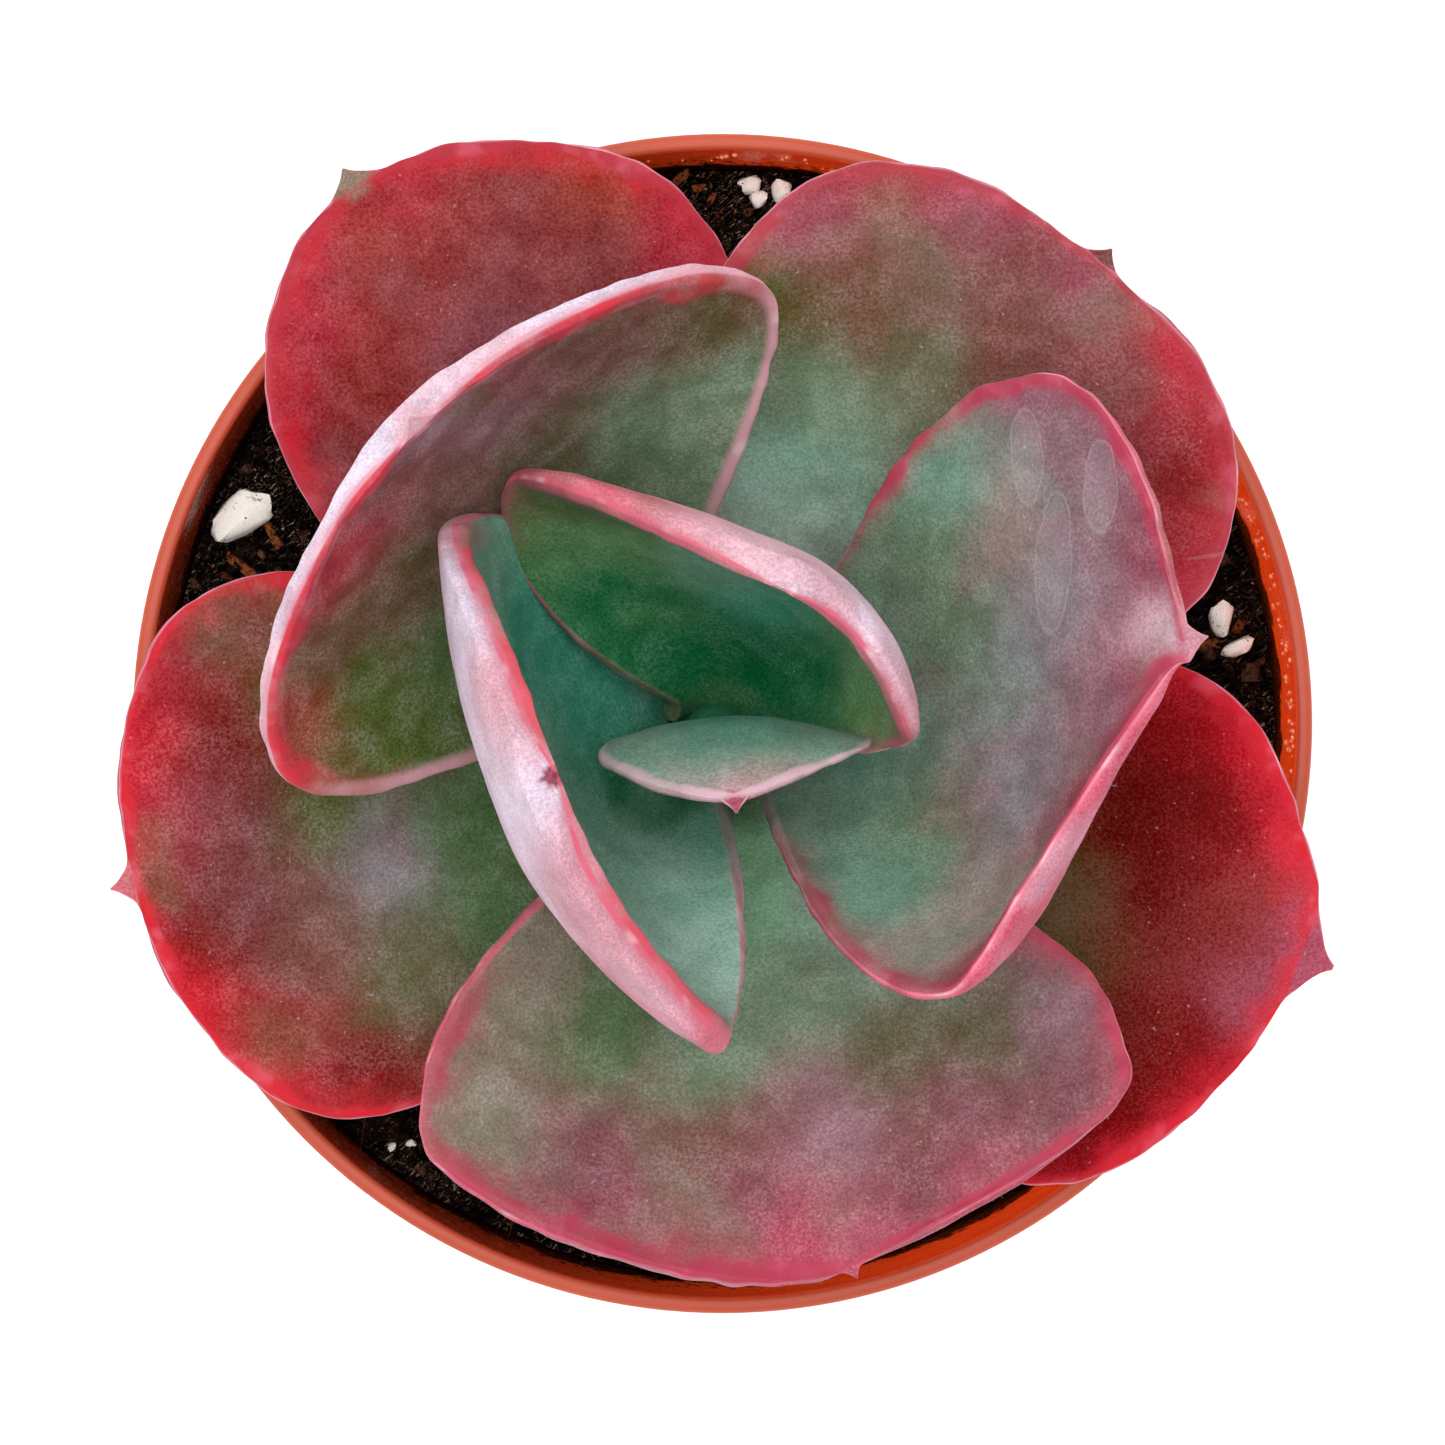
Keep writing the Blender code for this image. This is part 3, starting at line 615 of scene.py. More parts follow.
STEM_RINGS = (
    (48.0, 1.2), (50.0, 2.6), (58.0, 3.6), (66.0, 4.4), (74.0, 4.9), (78.0, 5.2), (79.6, 5.3),
    (80.6, 4.9), (82.2, 5.35), (83.3, 4.8), (84.6, 5.2), (85.8, 4.75), (88.0, 5.0), (92.0, 4.7),
    (96.0, 4.45), (100.0, 4.1), (106.0, 3.2), (109.6, 2.2), (110.9, 1.1), (111.3, 0.4),
)
stem = drawn_up("stem_crown", [(height, radius, STEM_X, STEM_Y) for height, radius in STEM_RINGS], 32)
apply_modifier(stem, "SUBSURF", levels=1, render_levels=1)
places = coordinates(stem)
for i, (x, y, z) in enumerate(places / MM):
    swell = 1 + 0.07 * noise.noise(Vector((x, y, z)) / 2.1)
    places[i][0] = ((x - STEM_X) * swell + STEM_X) * MM
    places[i][1] = ((y - STEM_Y) * swell + STEM_Y) * MM
put_coordinates(stem, places)
shade(stem, 60)
stem_bark = finish("stem_bark", Specular_IOR_Level=0.3)
stem_tree = stem_bark.node_tree
stem_place = own_place(stem_tree)
stem_drawn = put(stem_tree, "Mapping", {0: stem_place, 3: (1, 1, 3)}).outputs[0]
stem_streaks = grain(stem_tree, stem_drawn, 1.6, 6.0, 0.65)
stem_brown = mix(stem_tree, ramp(stem_tree, stem_streaks, 0.35, 0.65), colour("4a3a22"), colour("8a7a4e"))
stem_cracks = grain(stem_tree, stem_place, 0.4, 4.0)
stem_brown = mix(stem_tree, ramp(stem_tree, stem_cracks, 0.6, 0.7, 0.0, 0.6), stem_brown, colour("2c2014"))
stem_relief = relief(stem_tree, stem_cracks, 0.25, 0.7, relief(stem_tree, stem_streaks, 0.5, 0.7))
stem_gloss = ramp(stem_tree, stem_streaks, 0.3, 0.7, 0.65, 0.9)
stem_height = put(stem_tree, "SeparateXYZ", {0: stem_place}).outputs["Z"]
stem_skin = mix(stem_tree, ramp(stem_tree, stem_height, 0.088, 0.094), stem_brown, colour("2c7650"))
connect(stem_bark, Base_Color=stem_skin, Roughness=stem_gloss, Normal=stem_relief)
stem.data.materials.append(stem_bark)
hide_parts("stem")
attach(stem, "root")

# Leaves. Ten fleshy blades in a spiral, the oldest lowest and reddest, the youngest upright and green.
# Each is cupped, thick at its midrib and thin at its margin, ends in a soft spike, and wears a powdery
# bloom of wax, which the eye sees as a grey-lilac mottle over the green and the red.

BLADE_ROWS = 42
BLADE_COLUMNS = 26
ROOT_ROWS = 2  # rows of the grid that run into the stem
SPIKE_ROWS = 4  # rows that make the spike
MIDRIB_STEPS = 60
ROOT_LENGTH = 2.6
SPIKE_DECAY = 2.2  # how soon the blade widens behind the spike
SKIN_BLOOM = 0.08  # grey that takes part in the light and dark patches
TINTS = {
    "scarlet": "c42230", "poppy": "cb2c40", "coral": "cf4152", "crimson": "a63340", "cherry": "93262f",
    "ruby": "7a0a12", "garnet": "630a08", "wine": "6c1e19", "sienna": "8e3a2b", "brick": "82322f",
    "russet": "7d4042", "dusk": "6b393c", "plum": "7b4a52", "mauve": "8e4454", "rose": "a24d60",
    "berry": "a8334c", "pink": "cc5a70", "petal": "cc929f", "salmon": "ad6564", "blush": "d3adb9",
    "blossom": "dc7a8e", "lilac": "d6c9da", "orchid": "8a6670", "pewter": "857f84", "clay": "958b82",
    "straw": "7e7667", "umber": "714d44", "bronze": "66503b", "olive": "615d44", "moss": "4b5c2a",
    "fern": "506b45", "grass": "5c8352", "sage": "6b8268", "sea": "729a86", "mist": "97b8a8",
    "jade": "42917a", "leek": "8cc49a", "deep": "0e6239",
}


def tinted(name):
    return colour(TINTS[name])


@dataclass
class Leaf:
    """One leaf's shape and colours. Angles in degrees; left and right are seen from the stem."""

    azimuth: float  # direction of the midrib in plan, from +X towards +Y
    height: float  # of the base above the ground
    length: float  # along the midrib, without the spike
    left: float  # widest half width, left of the midrib
    right: float
    rise: tuple  # slope of the midrib at the base, halfway and at the tip
    cup: tuple  # turn of the blade from midrib to margin, left and right
    face: tuple  # washes of the inner face: tint, along the midrib, across it
    back: tuple = (  # washes of the outer face
        ("sage", 0.1, 0.0), ("clay", 0.35, 0.3), ("orchid", 0.4, -0.3), ("rose", 0.4, 0.95),
        ("rose", 0.4, -0.95), ("mauve", 0.65, 0.3), ("orchid", 0.65, -0.4), ("rose", 0.75, 0.97),
        ("rose", 0.75, -0.97),
        ("mauve", 0.85, 0.0), ("berry", 0.93, 0.7), ("berry", 0.93, -0.7), ("rose", 0.98, 0.1),
    )
    line: str = "crimson"  # tint of the line along the margin
    line_width: float = 0.9
    line_from: tuple = (0.15, 0.15)  # where the line begins on the left and right margins
    band: tuple = ("scarlet", 2.2, 0.0)  # blotchy flush inside the margin: tint, width, strength
    rim: str = "blossom"  # tint of the very edge
    rim_width: float = 0.3  # how far that tint reaches in where there is no line
    tip: str = "rose"  # tint of the spike
    mottle: tuple = ("wine", "sage")  # tints of the warm and the cool clouds in the inner face
    dust: float = 0.5  # how much bloom shows
    blotch: float = 0.09  # how much the light and dark patches differ
    tone: float = 1.0  # below 1 darkens the whole skin
    shine: float = 0.16
    nicks: tuple = ()  # dents of the margin: side, place along the midrib, depth, length
    stains: tuple = ()  # rims left by drops: along and across the leaf, length, width, turn
    reach: float = 5.0  # from the stem's axis to the base
    offset: float = 0.0  # of the base to the left of the stem's axis
    swing: float = 0.0  # turn of the midrib in plan, from base to tip
    widest: tuple = (0.62, 0.62)  # place of the widest point along the midrib, left and right
    blunt: tuple = (2.2, 2.2)  # squareness of the blade's end, left and right
    point: tuple = (0.6, 0.6)  # 0.5 is a round end, and more is a pointed one
    base: float = 4.3  # half width where the leaf meets the stem
    flank: tuple = (1.25, 1.25)  # how late the blade widens, left and right
    channel: float = 35.0  # extra cupping at the base
    belly: float = 0.0  # swelling of the inner face
    core: tuple = (4.0, 3.2)  # thickness at the midrib, at base and tip
    edge: float = 1.6  # thickness at the margin
    spike: float = 2.0
    spike_width: float = 1.7
    wave: tuple = (0.0, 1.5, 0.0)  # of the margin: height, number along the leaf, start


def directions(azimuth, slope):
    """Unit vectors of that azimuth and slope, in radians."""
    flat = np.cos(slope)
    return np.stack([np.cos(azimuth) * flat, np.sin(azimuth) * flat, np.sin(slope)], axis=-1)


def midrib(leaf):
    """Points, tangents, leftward sides and inner normals at even steps along the midrib."""
    share = np.linspace(0, 1, MIDRIB_STEPS + 1)
    azimuth = math.radians(leaf.azimuth)
    low, half, high = np.radians(leaf.rise)
    slope = (1 - share) ** 2 * low + 2 * share * (1 - share) * half + share**2 * high
    turned = azimuth + math.radians(leaf.swing) * share**1.5
    tangents = directions(turned, slope)
    sides = directions(turned + math.pi / 2, np.zeros_like(share))
    start = np.array([STEM_X, STEM_Y, leaf.height]) + leaf.reach * directions(azimuth, 0.0)
    start = start + leaf.offset * directions(azimuth + math.pi / 2, 0.0)
    steps = np.cumsum(tangents[:-1] * leaf.length / MIDRIB_STEPS, axis=0)
    points = start + np.vstack([np.zeros(3), steps])
    return points, tangents, sides, np.cross(tangents, sides)


def along_midrib(rows, share):
    """Values of the midrib's rows at any share of its length."""
    even = np.linspace(0, 1, MIDRIB_STEPS + 1)
    return np.stack([np.interp(share, even, rows[:, i]) for i in range(3)], axis=-1)


def half_width(leaf, share, across):
    """Half width of the blade at a share of the midrib, on the side that across has the sign of."""
    left = across >= 0
    wide = np.where(left, leaf.left, leaf.right)
    widest = np.where(left, *leaf.widest)
    blunt = np.where(left, *leaf.blunt)
    share = np.clip(share, 0, 1)
    rise = np.sin(np.pi / 2 * np.minimum(share / widest, 1)) ** np.where(left, *leaf.flank)
    fall = np.clip(1 - np.clip((share - widest) / (1 - widest), 0, 1) ** blunt, 0, 1)
    fall = fall ** np.where(left, *leaf.point)
    width = np.where(share <= widest, leaf.base + (wide - leaf.base) * rise, wide * fall)
    for side, place, depth, length in leaf.nicks:
        dent = depth * np.exp(-(((share - place) * leaf.length / length) ** 2))
        width = width - np.where(left == (side > 0), dent, 0)
    return width + leaf.spike_width * np.exp(-(1 - share) * leaf.length / SPIKE_DECAY)


def thickness(leaf, share, across, width):
    """The flesh is thickest at the midrib, and thins out where the blade is narrow."""
    share = np.clip(share, 0, 1)
    core = leaf.core[0] + (leaf.core[1] - leaf.core[0]) * share**0.8
    depth = leaf.edge + (core - leaf.edge) * (1 - np.abs(across) ** 2.4)
    return depth * np.minimum(1.0, (width / 4.0) ** 0.7)


def unit(rows):
    """Each row as a vector of length 1."""
    return rows / np.linalg.norm(rows, axis=-1, keepdims=True)


def blade(leaf, share, across):
    """The inner face's points, the way its flesh lies behind it, and how thick it is, in millimetres."""
    points, tangents, sides, normals = midrib(leaf)
    inner_share = np.clip(share, 0, 1)
    point = along_midrib(points, inner_share)
    side, normal = unit(along_midrib(sides, inner_share)), unit(along_midrib(normals, inner_share))
    sign = np.where(across >= 0, 1.0, -1.0)[:, None]
    width = half_width(leaf, share, across)
    cup = np.where(across >= 0, *leaf.cup) * (1 - 0.8 * inner_share**12)
    turn = np.radians(cup + leaf.channel * np.maximum(1 - inner_share / 0.6, 0) ** 1.5)
    turn = np.maximum(turn, 0.001)
    angle = np.abs(across) * turn
    inner = point + side * sign * (width * np.sin(angle) / turn)[:, None]
    inner = inner + normal * (width * (1 - np.cos(angle)) / turn)[:, None]
    facing = normal * np.cos(angle)[:, None] - side * sign * np.sin(angle)[:, None]
    height, count, start = leaf.wave
    full = np.where(across >= 0, leaf.left, leaf.right)
    phase = count * inner_share * sign[:, 0] + start
    wave = height * width / full * across**2 * np.sin(math.tau * phase)
    belly = leaf.belly * (1 - across**2) * np.sin(np.pi * inner_share) ** 0.8
    inner = inner + facing * (wave + belly)[:, None]
    depth = thickness(leaf, share, across, width)
    end_depth = thickness(leaf, np.ones(1), np.zeros(1), np.full(1, leaf.spike_width))
    heart = points[-1] - normals[-1] * 0.5 * end_depth
    beyond = np.clip((share - 1) * leaf.length / leaf.spike, 0, 1)
    slim = np.maximum((1 - beyond) ** 1.3, 0.03)
    spike = heart + (inner - heart) * slim[:, None] + tangents[-1] * (leaf.spike * beyond)[:, None]
    inner = np.where((share > 1)[:, None], spike, inner)
    behind = np.clip(-share, 0, 1) * leaf.length
    inner = inner - tangents[0] * behind[:, None]
    return inner, facing, depth * slim


def margin_distance(leaf, share, across):
    """How far a point lies from the blade's margin, in millimetres."""
    width = half_width(leaf, share, across)
    step = 0.004
    rise = half_width(leaf, share + step, across) - half_width(leaf, share - step, across)
    slope = rise / (2 * step * leaf.length)
    return (1 - np.abs(across)) * width / np.sqrt(1 + slope**2)


def washed(leaf, washes, share, across, drift):
    """Each point's colour, blended from the washes near it. Drift carries the colours about."""
    width = half_width(leaf, share, across)
    long, wide = share * leaf.length + drift[:, 0], across * width + drift[:, 1]
    total, weight = np.zeros((len(share), 3)), np.full(len(share), 1e-9)
    for tint, place, offset in washes:
        near = half_width(leaf, np.array([place]), np.array([offset]))[0]
        away = (long - place * leaf.length) ** 2 + (wide - offset * near) ** 2
        strength = 1 / (away + 12.0) ** 2.0
        total += strength[:, None] * np.array(tinted(tint)[:3])
        weight += strength
    return total / weight[:, None]


def leaf_finish(name, leaf, seed):
    """Waxy skin: the painted wash, mottled by the bloom, with a ragged red line along the margin."""
    material = finish(
        name, Specular_IOR_Level=leaf.shine, Sheen_Weight=leaf.shine / 5, Sheen_Roughness=0.45,
        Subsurface_Weight=0.08, Subsurface_Radius=(1.0, 0.45, 0.3), Subsurface_Scale=1.2 * MM,
    )
    tree = material.node_tree
    place = put(tree, "Mapping", {0: own_place(tree), 1: (seed * 0.013, -seed * 0.007, 0.0)}).outputs[0]
    wash = painted(tree, "wash", "Color")
    margin, inner, lined, along = (painted(tree, key) for key in ("margin", "inner", "lined", "share"))
    clouds = grain(tree, place, 9.0, 1.0, 0.5, 0.4)
    blots = grain(tree, place, 3.2, 2.5, 0.5, 0.3)
    powder = grain(tree, place, 0.26, 3.0, 0.7)

    # Warm and cool clouds, light and dark patches, and the dust and flecks of the bloom.
    warm = mix(tree, inner, tinted("rose"), tinted(leaf.mottle[0]))
    cool = mix(tree, inner, tinted("lilac"), tinted(leaf.mottle[1]))
    skin = mix(tree, ramp(tree, clouds, 0.5, 0.75, 0.0, 0.3), wash, warm)
    skin = mix(tree, ramp(tree, clouds, 0.5, 0.25, 0.0, 0.3), skin, cool)
    blotchy = ramp(tree, blots, 0.28, 0.72, 1 - leaf.blotch, 1 + leaf.blotch)
    light = times(tree, blotchy, ramp(tree, powder, 0.25, 0.75, 0.75 * leaf.tone, 1.17 * leaf.tone))
    lifted = put(tree, "VectorMath", {0: skin, 1: (SKIN_BLOOM,) * 3}).outputs[0]
    lifted = put(tree, "VectorMath", {0: lifted, 3: light}, operation="SCALE").outputs[0]
    skin = put(tree, "VectorMath", {0: lifted, 1: (SKIN_BLOOM,) * 3}, operation="SUBTRACT").outputs[0]
    dust = times(tree, ramp(tree, blots, 0.42, 0.66), ramp(tree, powder, 0.42, 0.68), 0.3 * leaf.dust)
    skin = mix(tree, dust, skin, colour("b4b0ba"))
    flecks = ramp(tree, grain(tree, place, 0.5, 2.0, 0.5), 0.70, 0.76, 0.0, 0.22)
    skin = mix(tree, times(tree, flecks, inner), skin, colour("d8d4dc"))

    # The flush inside the margin, then the ragged line along it.
    flush, wide, strength = leaf.band
    patchy = ramp(tree, grain(tree, place, 7.0, 2.0), 0.38, 0.60, 0.5, 1.0)
    flushed = plus(tree, margin, times(tree, grain(tree, place, 3.4, 2.5, 0.55), wide * 2.0))
    band = times(tree, ramp(tree, flushed, wide * 2.5, wide * 0.9), inner, lined, patchy, strength)
    skin = mix(tree, band, skin, tinted(flush))
    wander = times(tree, ramp(tree, grain(tree, place, 6.0, 1.0), 0.35, 0.65), leaf.line_width)
    ragged = times(tree, grain(tree, place, 1.6, 4.0, 0.6), leaf.line_width)
    ragged = plus(tree, plus(tree, margin, wander), ragged)
    line = ramp(tree, ragged, leaf.line_width * 2.8, leaf.line_width * 1.7)
    line = times(tree, line, ramp(tree, inner, 0.5, 0.8), lined, patchy)
    streak = mix(tree, ramp(tree, blots, 0.5, 0.7, 0.0, 0.3), tinted(leaf.line), tinted(leaf.rim))
    skin = mix(tree, times(tree, line, 0.85), skin, streak)

    # The pale rim: the edge's own pale tint, brightened as a painted highlight, with painted glints in
    # places.
    glint = ramp(tree, grain(tree, place, 4.0, 2.0), 0.52, 0.72, 0.0, 0.4)
    pale = mix(tree, glint, tinted(leaf.rim), colour("f3e9ef"))
    edge = times(tree, ramp(tree, inner, 0.35, 0.5), ramp(tree, inner, 0.85, 0.65))
    edge = times(tree, edge, ramp(tree, blots, 0.35, 0.6, 0.45, 0.95))
    within = ramp(tree, margin, leaf.rim_width, leaf.rim_width * 0.4, 0.0, 0.8)
    within = times(tree, within, inner, ramp(tree, line, 0.6, 0.0))
    edge = times(tree, larger(tree, edge, within), ramp(tree, along, 0.08, 0.35, 0.2, 1.0))
    skin = mix(tree, edge, skin, pale)
    if leaf.stains:
        spot = painted(tree, "spot", "Vector")
    for x, y, length, width, turn in leaf.stains:
        moved = put(tree, "VectorMath", {0: spot, 1: (x, y, 0)}, operation="SUBTRACT").outputs[0]
        turning = {0: moved, 3: math.radians(-turn)}
        turned = put(tree, "VectorRotate", turning, rotation_type="Z_AXIS").outputs[0]
        sizing = {0: turned, 1: (2 / length, 2 / width, 0)}
        sized = put(tree, "VectorMath", sizing, operation="MULTIPLY").outputs[0]
        away = put(tree, "VectorMath", {0: sized}, operation="LENGTH").outputs[1]
        away = plus(tree, away, times(tree, blots, 0.55))
        ring = times(tree, ramp(tree, away, 1.17, 1.26), ramp(tree, away, 1.35, 1.26), 0.2)
        mark = plus(tree, ring, times(tree, ramp(tree, away, 1.26, 1.1), 0.1))
        skin = mix(tree, times(tree, mark, inner), skin, colour("c4bdc6"))
    gloss = ramp(tree, blots, 0.3, 0.7, 0.48, 0.68)
    bumps = relief(tree, blots, 0.2, 0.7)
    bumps = relief(tree, powder, 0.035, 0.8, bumps)
    connect(material, Base_Color=skin, Roughness=gloss, Normal=bumps)
    return material


def drifting(points, size, strength, seed):
    """Smooth noise at each point, as a vector."""
    shift = Vector((seed * 17.3, seed * 5.1, 0.0))
    return np.array([noise.noise_vector(Vector(p) / size + shift) for p in points]) * strength


# Without this, noise_vector takes its seed from the clock, and the leaves differ from run to run.
noise.seed_set(3)


def read_back(piece, name):
    """The values that paint put on the mesh, as the modifiers have carried them on."""
    values = np.empty(len(piece.data.vertices))
    piece.data.attributes[name].data.foreach_get("value", values)
    return values


def grow(name, leaf, seed):
    """Models one leaf from a grid, gives it its flesh, and paints it."""
    clear_selection()
    bpy.ops.mesh.primitive_grid_add(x_subdivisions=BLADE_COLUMNS, y_subdivisions=BLADE_ROWS, size=2.0)
    piece = bpy.context.object
    piece.name = name + "_blade"
    flat = coordinates(piece)
    column, row = -flat[:, 0], (flat[:, 1] + 1) / 2
    across = 0.6 * column + 0.4 * np.sin(np.pi / 2 * column)
    root, tip = ROOT_ROWS / BLADE_ROWS, 1 - SPIKE_ROWS / BLADE_ROWS
    free = np.clip((row - root) / (tip - root), 0, 1)
    share = 0.35 * free + 0.65 * np.sin(np.pi / 2 * free)
    share = share - np.clip((root - row) / root, 0, 1) * ROOT_LENGTH / leaf.length
    share = share + np.clip((row - tip) / (1 - tip), 0, 1) * leaf.spike / leaf.length
    inner, facing, depth = blade(leaf, share, across)
    put_coordinates(piece, inner * MM)
    paint(piece, "share", share)
    paint(piece, "across", across)
    flesh = piece.vertex_groups.new(name="flesh")
    thickest = float(depth.max())
    for i, value in enumerate(depth / thickest):
        flesh.add([i], float(value), "REPLACE")
    apply_modifier(
        piece, "SOLIDIFY", thickness=thickest * MM, offset=-1.0, vertex_group="flesh",
        use_quality_normals=True,
    )
    count = len(flat)
    face_side = np.zeros(len(piece.data.vertices))
    face_side[:count] = 1.0
    paint(piece, "inner", face_side)
    apply_modifier(piece, "SUBSURF", levels=2, render_levels=2)
    shade(piece, 180)

    places = coordinates(piece) / MM
    share, across, side = (read_back(piece, key) for key in ("share", "across", "inner"))
    width, margin = half_width(leaf, share, across), margin_distance(leaf, share, across)
    slow = drifting(places, 9.0, 1.0, seed)
    quick = drifting(places, 2.2, 1.0, seed + 3)
    normals = np.empty(len(places) * 3)
    piece.data.vertices.foreach_get("normal", normals)
    normals = normals.reshape(-1, 3)
    near_edge = np.exp(-margin / 1.5)
    lift = 0.28 * slow[:, 2] + (0.06 + 0.16 * near_edge) * quick[:, 2]
    fade = np.clip(width / 5, 0.1, 1) * np.clip(share * 6, 0, 1)
    places = places + normals * (lift * fade)[:, None]
    put_coordinates(piece, places * MM)

    drift = slow[:, :2] * 1.6 + quick[:, :2] * 0.4
    front = washed(leaf, leaf.face, share, across, drift)
    rear = washed(leaf, leaf.back, share, across, drift)
    turn_over = np.clip((side - 0.5) / 0.4, 0, 1)[:, None]
    wash = rear * (1 - turn_over) + front * turn_over
    beside = np.where(share > 1, 0, np.maximum(np.abs(across) * width - 0.2 * leaf.spike_width, 0))
    from_tip = np.hypot(np.maximum(1 - share, 0) * leaf.length, beside)
    tip_width = min(leaf.spike_width, 2.0)
    at_tip = np.clip((0.65 * tip_width - from_tip) / (0.45 * tip_width), 0, 1)[:, None]
    wash = wash * (1 - at_tip) + np.array(tinted(leaf.tip)[:3]) * at_tip
    paint(piece, "wash", np.hstack([wash, np.ones((len(wash), 1))]), "FLOAT_COLOR")
    paint(piece, "margin", margin)
    starts = np.where(across >= 0, *leaf.line_from)
    lined = np.clip((share - starts) / 0.2, 0, 1) * np.clip((1.01 - share) / 0.02, 0, 1)
    paint(piece, "lined", lined)
    if leaf.stains:
        spot = np.stack([share * leaf.length, across * width, np.zeros(len(share))], axis=-1)
        paint(piece, "spot", spot, "FLOAT_VECTOR")
    piece.data.materials.append(leaf_finish(name + "_skin", leaf, seed))
    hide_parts(name)
    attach(piece, "root")
    return piece


# The three oldest leaves lie low and point away from each other: dull wine red, scarlet where the sun
# reaches their margins. Leaf 01 is at the back on the left.
grow("leaf_01", Leaf(
    azimuth=123.5, height=85.6, length=52.5, left=18.2, right=23.5, rise=(20, 16, 12), cup=(10, 10),
    line_width=0.7, band=("scarlet", 3.0, 0.75), tip="straw", mottle=("brick", "plum"), dust=0.1,
    blotch=0.1, shine=0.07, point=(0.62, 0.62), spike=1.8, spike_width=2.8, wave=(0.5, 1.3, 0.1),
    face=(
        ("crimson", 0.95, -0.33), ("brick", 0.87, -0.7), ("sienna", 0.77, -0.83),
        ("crimson", 0.65, -0.93), ("crimson", 0.93, 0.47), ("crimson", 0.85, 0.77), ("cherry", 0.75, 0.9),
        ("brick", 0.82, 0.17), ("russet", 0.78, -0.33), ("russet", 0.63, 0.75), ("brick", 0.88, -0.37),
        ("plum", 0.68, -0.1), ("sienna", 0.9, 0.2), ("brick", 0.74, 0.55), ("dusk", 0.4, 0.0),
        ("russet", 0.7, -0.6),
    ),
), 1)

grow("leaf_02", Leaf(
    azimuth=-20.7, height=88.2, length=49.5, left=19.6, right=26.6, rise=(22, 18, 12), cup=(10, 10),
    line="scarlet", line_width=0.8, band=("scarlet", 3.4, 0.7), mottle=("ruby", "garnet"), dust=0.0,
    blotch=0.05, shine=0.05, widest=(0.62, 0.66), point=(0.75, 0.68), spike=2.8, spike_width=4.2,
    wave=(0.6, 1.6, 0.4),
    face=(
        ("ruby", 0.72, 0.85), ("scarlet", 0.83, 0.97), ("scarlet", 0.9, 0.85), ("coral", 0.94, 0.97),
        ("garnet", 0.73, 0.47), ("garnet", 0.64, 0.3), ("garnet", 0.73, 0.07), ("brick", 0.9, 0.37),
        ("rose", 0.99, 0.4), ("mauve", 0.95, -0.33), ("ruby", 0.92, -0.75), ("ruby", 0.83, -0.9),
        ("wine", 0.8, -0.4), ("moss", 0.5, 0.0), ("bronze", 0.6, -0.1), ("moss", 0.56, -0.35),
        ("garnet", 0.83, 0.6), ("brick", 0.86, 0.05), ("scarlet", 0.78, 0.97),
    ),
), 2)

grow("leaf_03", Leaf(
    azimuth=194.2, height=91.0, length=47.5, left=24.1, right=22.6, rise=(22, 18, 12), cup=(10, 10),
    line="scarlet", line_width=0.8, band=("scarlet", 3.0, 0.5), tip="pink", mottle=("wine", "fern"),
    dust=0.35, shine=0.08, widest=(0.64, 0.67), blunt=(2.6, 2.6), spike_width=1.9, wave=(0.5, 1.4, 0.6),
    face=(
        ("russet", 0.8, -0.93), ("cherry", 0.88, -0.93), ("scarlet", 0.95, -0.83), ("wine", 0.8, -0.43),
        ("moss", 0.65, -0.1), ("pewter", 0.55, 0.13), ("fern", 0.39, 0.1), ("dusk", 0.82, 0.17),
        ("scarlet", 0.97, 0.9), ("cherry", 0.8, 0.76), ("wine", 0.68, 0.87), ("olive", 0.57, 0.57),
        ("fern", 0.39, 0.47), ("dusk", 0.86, -0.3), ("crimson", 0.93, -0.4), ("wine", 0.93, 0.4),
        ("umber", 0.72, 0.35), ("dusk", 0.75, -0.1), ("moss", 0.6, -0.5),
    ),
), 3)

# The middle leaves lie over them and still show green at their bases. Leaf 04 fills the back right,
# and has a small tuck in its right margin.
grow("leaf_04", Leaf(
    azimuth=51, height=93.9, length=48.5, left=24.4, right=23.9, rise=(28, 20, 15), cup=(10, 12),
    line_width=0.8, band=("crimson", 3.0, 0.5), tip="dusk", dust=0.35, nicks=((-1, 0.60, 0.4, 0.9),),
    stains=((35.6, -22.4, 3.4, 0.3, -42),), widest=(0.64, 0.64), blunt=(2.6, 2.3), point=(0.46, 0.44),
    spike=1.4, spike_width=2.0, wave=(0.7, 1.7, 0.2),
    face=(
        ("mauve", 0.75, 0.93), ("cherry", 0.88, 0.93), ("mauve", 0.95, 0.73), ("mauve", 0.95, -0.07),
        ("crimson", 0.92, -0.62), ("scarlet", 0.96, -0.75), ("wine", 0.82, -0.8), ("cherry", 0.73, -0.95),
        ("bronze", 0.68, 0.6), ("umber", 0.8, 0.37), ("sage", 0.5, 0.53), ("sea", 0.39, 0.43),
        ("olive", 0.67, 0.33), ("dusk", 0.88, -0.43), ("mist", 0.29, 0.57), ("moss", 0.58, 0.8),
        ("dusk", 0.72, -0.5), ("umber", 0.85, 0.05), ("olive", 0.6, -0.1), ("coral", 0.68, -0.98),
        ("scarlet", 0.76, -1.0), ("scarlet", 0.87, -1.0),
    ),
), 4)

